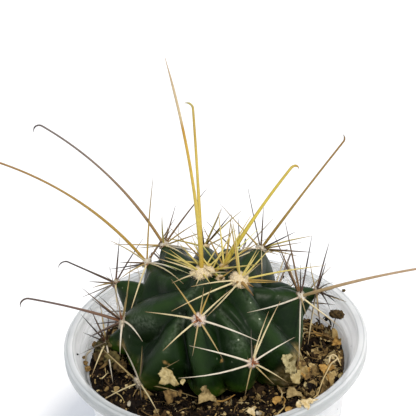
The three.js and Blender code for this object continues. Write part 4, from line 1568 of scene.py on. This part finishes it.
def strew(name, tree, share):
    values = dict(litter[name])
    for label in ("Size", "Jag", "Length", "Width"):
        if label in values:
            values[label] *= mm
    values["Limit"] = litter["outerLimit"] * mm + litter["overhang"] * mm
    piece = grow(name, makeBedSeed(name, share), tree, barkMaterial, values)
    settle(piece, "soil", "soil")


def everywhere(x, y):
    return 1.0


flakeTree, fibreTree = makeFlakeTree(), makeFibreTree()
for name in ("soilCrumbs", "soilGrit", "soilChips"):
    strew(name, flakeTree, everywhere)
strew("soilBark", flakeTree, barkShare)
strew("soilFibres", fibreTree, everywhere)
print("stage: litter")


# Dried bits: torn papery sheets, clods and stray roots lying on the plant, the soil and the rim
debrisTones = {
    "paper": ("cdbd8c", "a3905c"),
    "straw": ("c7a05a", "8c6832"),
    "shell": ("bba676", "7a6840"),
    "cream": ("eadbb4", "c9ae74"),
    "bark": ("94794a", "4c3a20"),
    "husk": ("5c4a2a", "2c2212"),
    "moss": ("6e643c", "2e2a16"),
    "soot": ("2a2620", "12100c"),
    "chalk": ("c2baa6", "8a816c"),
    "sage": ("c4b98c", "80744a"),
}

# Outlines in millimetres, seen from the front
outlines = {
    "torn": [(-2.3, 0.6), (-1.7, 1.2), (-1.6, 2.0), (-0.8, 2.1), (0.7, 1.3), (1.0, 0.3), (2.2, -1.2),
             (1.3, -1.9), (0.1, -1.4), (-1.0, -1.9), (-2.0, -1.5), (-1.8, -0.3)],
    "shell": [(-1.6, -1.2), (-1.5, 0.3), (-0.8, 1.3), (0.2, 1.5), (0.7, 0.6), (1.5, 0.1), (1.8, -0.9),
              (0.4, -0.6)],
    "lobed": [(-1.4, 0.9), (-0.2, 1.2), (0.4, 0.7), (1.3, 0.5), (1.5, -0.4), (0.5, -0.5), (0.1, -1.5),
              (-0.8, -1.8), (-1.2, -0.6)],
    "chip": [(-1.1, 0.3), (-0.4, 0.9), (0.6, 0.7), (1.2, 0.0), (0.7, -0.8), (-0.3, -0.6), (-1.0, -0.7)],
    "sliver": [(-1.8, 0.2), (-0.6, 0.5), (0.8, 0.4), (1.9, -0.1), (0.7, -0.4), (-0.8, -0.3)],
}

# Sheets: place, facing as azimuth and elevation, turn, outline, size, curl and tone
sheets = [
    ((-10.3, -18.9, 63.8), (-100, 25), 0, "torn", 1.02, 0.06, "paper"),
    ((-7.4, -19.9, 63.2), (-95, 30), 60, "chip", 0.62, 0.30, "paper"),
    ((-10.2, -18.9, 59.0), (-100, 35), 10, "lobed", 1.1, 0.2, "bark"),
    ((-8.2, -19.6, 60.0), (-100, 30), 80, "chip", 0.6, 0.30, "bark"),
    ((-2.4, -20.8, 59.4), (-95, 40), 0, "shell", 1.2, 0.18, "shell"),
    ((-2.9, -20.6, 61.6), (-120, 50), 50, "chip", 0.7, 0.95, "shell"),
    ((14.9, -17.2, 65.6), (-52, 20), 10, "lobed", 1.05, 0.2, "sage"),
    ((16.0, -16.4, 63.2), (-50, 15), 70, "torn", 0.85, 0.15, "sage"),
    ((17.9, -14.5, 62.2), (-42, 15), -30, "lobed", 1.1, 0.3, "bark"),
    ((16.6, -16.8, 60.4), (-55, 25), 130, "lobed", 1.1, 0.3, "paper"),
    ((18.9, -14.0, 59.8), (-45, 30), 20, "torn", 0.75, 0.25, "straw"),
    ((19.6, -12.6, 57.8), (-50, 40), 80, "lobed", 1.0, 0.3, "bark"),
    ((12.5, -19.2, 56.2), (-70, 50), 20, "chip", 1.0, 0.3, "straw"),
    ((7.0, -22.4, 56.4), (-90, 55), 40, "lobed", 0.75, 0.35, "cream"),
    ((8.3, -23.2, 56.2), (-60, 60), 140, "chip", 0.6, 0.5, "chalk"),
    ((16.4, -17.6, 56.6), (-65, 55), -20, "shell", 1.1, 0.12, "shell"),
    ((19.4, -15.6, 56.8), (-30, 50), 70, "chip", 0.8, 0.4, "paper"),
    ((24.3, -10.2, 57.2), (-75, 55), 20, "torn", 0.66, 0.3, "straw"),
    ((25.6, -9.4, 57.2), (-100, 40), 80, "lobed", 0.62, 0.4, "straw"),
    ((18.6, -9.0, 57.6), (-60, 40), -40, "chip", 0.8, 0.5, "bark"),
    ((28.0, -1.5, 58.0), (-120, 50), 100, "lobed", 0.8, 0.5, "straw"),
    ((26.5, 1.0, 57.6), (-90, 45), -35, "sliver", 1.2, 0.35, "bark"),
    ((24.5, 3.0, 57.2), (-70, 50), 150, "sliver", 1.1, 0.4, "straw"),
    ((27.6, -12.4, 56.6), (-130, 45), 60, "chip", 0.7, 0.5, "paper"),
    ((24.6, 6.6, 57.2), (-90, 20), 85, "sliver", 0.75, 0.5, "bark"),
    ((-13.5, -20.4, 56.0), (-110, 60), 30, "chip", 0.6, 0.5, "shell"),
    ((-19.6, -17.4, 56.0), (-110, 55), 100, "chip", 0.55, 0.5, "chalk"),
    ((-26.0, -3.6, 56.4), (-90, 50), 45, "sliver", 0.8, 0.5, "bark"),
    ((14.8, -22.2, 56.0), (-80, 60), 10, "chip", 0.75, 0.5, "straw"),
    ((18.0, -28.2, 62.4), (-80, 60), 20, "lobed", 0.85, 0.35, "cream"),
    ((16.4, -28.4, 62.3), (-110, 50), 100, "chip", 0.75, 0.5, "cream"),
    ((19.4, -27.2, 62.2), (-70, 60), -15, "sliver", 0.6, 0.4, "cream"),
]

# Clods: place, radius, squash and tone
clods = [
    ((28.5, 5.4, 61.2), 1.05, 0.85, "husk"), ((29.8, 5.2, 60.9), 1.05, 0.95, "husk"),
    ((32.1, 13.8, 62.1), 0.42, 0.9, "husk"), ((-26.4, 2.2, 57.6), 2.1, 0.9, "moss"),
    ((-24.0, 2.4, 58.9), 1.9, 0.8, "moss"), ((-27.2, -0.4, 56.4), 1.7, 0.8, "husk"),
    ((-24.6, -1.6, 56.8), 1.8, 0.8, "moss"), ((-22.2, -4.6, 56.6), 1.5, 0.8, "husk"),
    ((18.3, 26.0, 59.4), 0.42, 1.0, "soot"), ((-30.3, -3.4, 57.3), 0.6, 0.8, "bark"),
    ((-30.6, -2.4, 58.2), 0.4, 0.8, "bark"), ((-29.8, -4.6, 56.6), 0.7, 0.8, "bark"),
    ((-31.6, -4.4, 60.6), 0.22, 1.0, "soot"), ((22.6, -23.6, 61.6), 0.4, 0.5, "husk"),
    ((17.2, -27.9, 62.2), 0.75, 0.8, "cream"), ((18.9, -27.4, 62.1), 0.6, 0.7, "cream"),
    ((25.6, 6.2, 57.0), 0.7, 0.7, "bark"), ((-28.6, 3.6, 57.4), 0.8, 0.8, "bark"),
    ((27.0, 8.0, 57.8), 0.45, 0.8, "soot"),
]

# Stray roots and stalks: places, width and tone
strayRoots = [
    ([(25.3, -9.4, 56.6), (25.5, -8.2, 57.6), (25.9, -7.3, 58.2), (26.7, -7.1, 58.4),
      (27.4, -7.8, 58.0), (26.7, -8.7, 57.9), (25.7, -9.6, 57.8), (24.4, -12.3, 57.8),
      (23.1, -15.5, 58.2), (21.9, -19.7, 59.4), (21.0, -23.4, 60.8), (19.7, -26.6, 62.3)],
     0.42, "cream"),
    ([(27.4, -7.8, 58.0), (27.7, -8.6, 57.5), (28.0, -9.4, 56.9)], 0.36, "cream"),
    ([(28.9, 5.0, 60.6), (28.5, 4.6, 59.2), (28.1, 4.2, 57.8), (27.9, 4.4, 56.0)], 0.26, "husk"),
    ([(27.9, 5.8, 57.2), (27.6, 5.6, 59.0), (26.6, 6.2, 59.8), (25.9, 6.0, 59.4)], 0.42, "soot"),
    ([(25.4, 6.6, 57.2), (25.0, 6.6, 58.6), (24.4, 6.8, 59.2)], 0.45, "soot"),
    ([(-29.0, -1.2, 59.2), (-29.9, -2.0, 58.7), (-30.2, -3.0, 57.6), (-29.8, -3.8, 56.0)], 0.5,
     "chalk"),
    ([(-0.4, -19.4, 57.0), (0.9, -20.0, 57.4), (2.2, -20.2, 58.2), (3.6, -20.0, 59.0)], 0.42, "straw"),
    ([(-23.6, -13.2, 56.4), (-22.6, -14.8, 57.2), (-21.4, -15.8, 57.0), (-20.6, -17.0, 56.2)], 0.3,
     "paper"),
    ([(20.5, 6.0, 58.6), (22.5, 5.4, 58.4), (24.6, 4.6, 57.8), (26.4, 4.0, 57.6)], 0.5, "bark"),
    ([(21.5, 2.0, 58.4), (24.0, 1.6, 58.4), (26.6, 0.4, 58.0), (28.2, -1.0, 57.4)], 0.45, "bark"),
    ([(13.8, -21.4, 56.6), (14.2, -21.2, 57.8), (13.6, -20.8, 58.6)], 0.3, "straw"),
    ([(23.8, -12.0, 56.6), (24.4, -13.4, 57.6), (24.4, -15.2, 57.4)], 0.5, "straw"),
]

debris = {
    "seed": 19,
    "sheetThickness": 0.11,
    "sheetRings": 6,
    "edgeSteps": 5,
    "jag": 0.07,
    "crumple": 0.2,
    "clodRelief": 0.38,
    "rootTaper": 0.55,
    "rootSides": 8,
}


def facingFrame(azimuth, elevation, turn):
    out = aim(azimuth, elevation)
    across = Vector((0, 0, 1)).cross(out).normalized()
    spun = Quaternion(out, math.radians(turn)) @ across
    return spun, out.cross(spun), out


def tornEdge(dice, corners, size):
    edge = []
    for first, second in zip(corners, corners[1:] + corners[:1]):
        for k in range(debris["edgeSteps"]):
            u, v = between(first, second, k / debris["edgeSteps"])
            jag = 1 + dice.uniform(-debris["jag"], debris["jag"])
            edge.append((u * jag * size, v * jag * size))
    return edge


def makeSheets():
    # each sheet is two skins a little apart, closed along a torn edge
    dice = random.Random(debris["seed"])
    points, faces, colours = [], [], []
    for place, (azimuth, elevation), turn, shape, size, curl, tone in sheets:
        across, up, out = facingFrame(azimuth, elevation, turn)
        pale, deep = (tint(code) for code in debrisTones[tone])
        edge = tornEdge(dice, outlines[shape], size)
        rings, count, start = debris["sheetRings"], len(edge), len(points)
        for side in (1, -1):
            for ring in range(rings + 1):
                share = ring / rings
                for u, v in edge if ring else [(0, 0)]:
                    u, v = u * share, v * share
                    rough = noise.fractal(Vector((u, v, place[0])) * 1.1, 0.8, 2.0, 4)
                    rise = curl * u * u + debris["crumple"] * size * rough * (0.6 + share)
                    thick = debris["sheetThickness"] / 2 * side * (1.0 if ring < rings else 0.4)
                    points.append(Vector(place) + across * u + up * v + out * (rise + thick))
                    mix = clamped(0.35 + 0.9 * rough + 0.35 * share ** 4)
                    colours.append(between(pale, deep, mix))
        skin = 1 + rings * count
        for base, flip in ((start, False), (start + skin, True)):
            for k in range(count):
                n = (k + 1) % count
                wedge = [(base, base + 1 + k, base + 1 + n)]
                for ring in range(rings - 1):
                    a, b = base + 1 + ring * count, base + 1 + (ring + 1) * count
                    wedge.append((a + k, b + k, b + n, a + n))
                faces += [tuple(reversed(face)) if flip else face for face in wedge]
        front = start + 1 + (rings - 1) * count
        back = front + skin
        for k in range(count):
            n = (k + 1) % count
            faces.append((front + k, back + k, back + n, front + n))
    return withTones(meshFrom("driedSheets", points, faces), colours)


def makeClods():
    ball = bmesh.new()
    colours = []
    for index, (place, radius, squash, tone) in enumerate(clods):
        pale, deep = (tint(code) for code in debrisTones[tone])
        for vert in bmesh.ops.create_icosphere(ball, subdivisions=4, radius=1)["verts"]:
            way = vert.co.normalized()
            bulge = noise.fractal(way * 1.9 + Vector((index * 5, 0, 0)), 0.9, 2.1, 5)
            reach = radius * (1 + debris["clodRelief"] * bulge)
            vert.co = (Vector(place) + Vector((way.x, way.y, way.z * squash)) * reach) * mm
            colours.append(between(pale, deep, clamped(0.4 - 1.1 * bulge)))
    return withTones(meshOf("driedClods", ball), colours)


def smoothed(places, steps=4):
    # a curve through the places
    spots = [Vector(p) for p in places]
    spots = [spots[0] * 2 - spots[1]] + spots + [spots[-1] * 2 - spots[-2]]
    path = []
    for a, b, c, d in zip(spots, spots[1:], spots[2:], spots[3:]):
        for k in range(steps):
            t = k / steps
            path.append(0.5 * (b * 2 + (c - a) * t + (a * 2 - b * 5 + c * 4 - d) * t ** 2
                               + (b * 3 - a - c * 3 + d) * t ** 3))
    return path + [spots[-2]]


def makeDebrisMaterial():
    material, tree, paint = newMaterial("driedPaper")
    grain = placeGroup(tree, mottle, scale=1500.0, detail=5.0, low=0.3, high=0.7)
    tone = attributeOf(tree, "tone", "Color")
    plug(tree, paint, {
        "Base Color": tinted(tree, tone, grain, 0.45, "8a7450", "MULTIPLY"),
        "Roughness": 0.82,
        "Specular IOR Level": 0.2,
        "Normal": bump(tree, grain, 0.6, 0.15),
    })
    return material


def makeDebris():
    material = makeDebrisMaterial()
    roots = Bundle()
    for places, width, tone in strayRoots:
        path = smoothed(places)
        pale, deep = (tint(code) for code in debrisTones[tone])
        shares = [i / (len(path) - 1) for i in range(len(path))]
        radii = [width / 2 * (1 - debris["rootTaper"] * share ** 2) for share in shares]
        roots.add(path, radii, [between(pale, deep, share) for share in shares])
    values = {"Sides": debris["rootSides"]}
    return [
        addPiece("driedSheets", makeSheets(), material),
        addPiece("driedClods", makeClods(), material),
        grow("strayRoots", roots.mesh("strayRoots"), sweep, material, values),
    ]


for piece in makeDebris():
    settle(piece, "soil", "soil")
print("stage: dried bits")
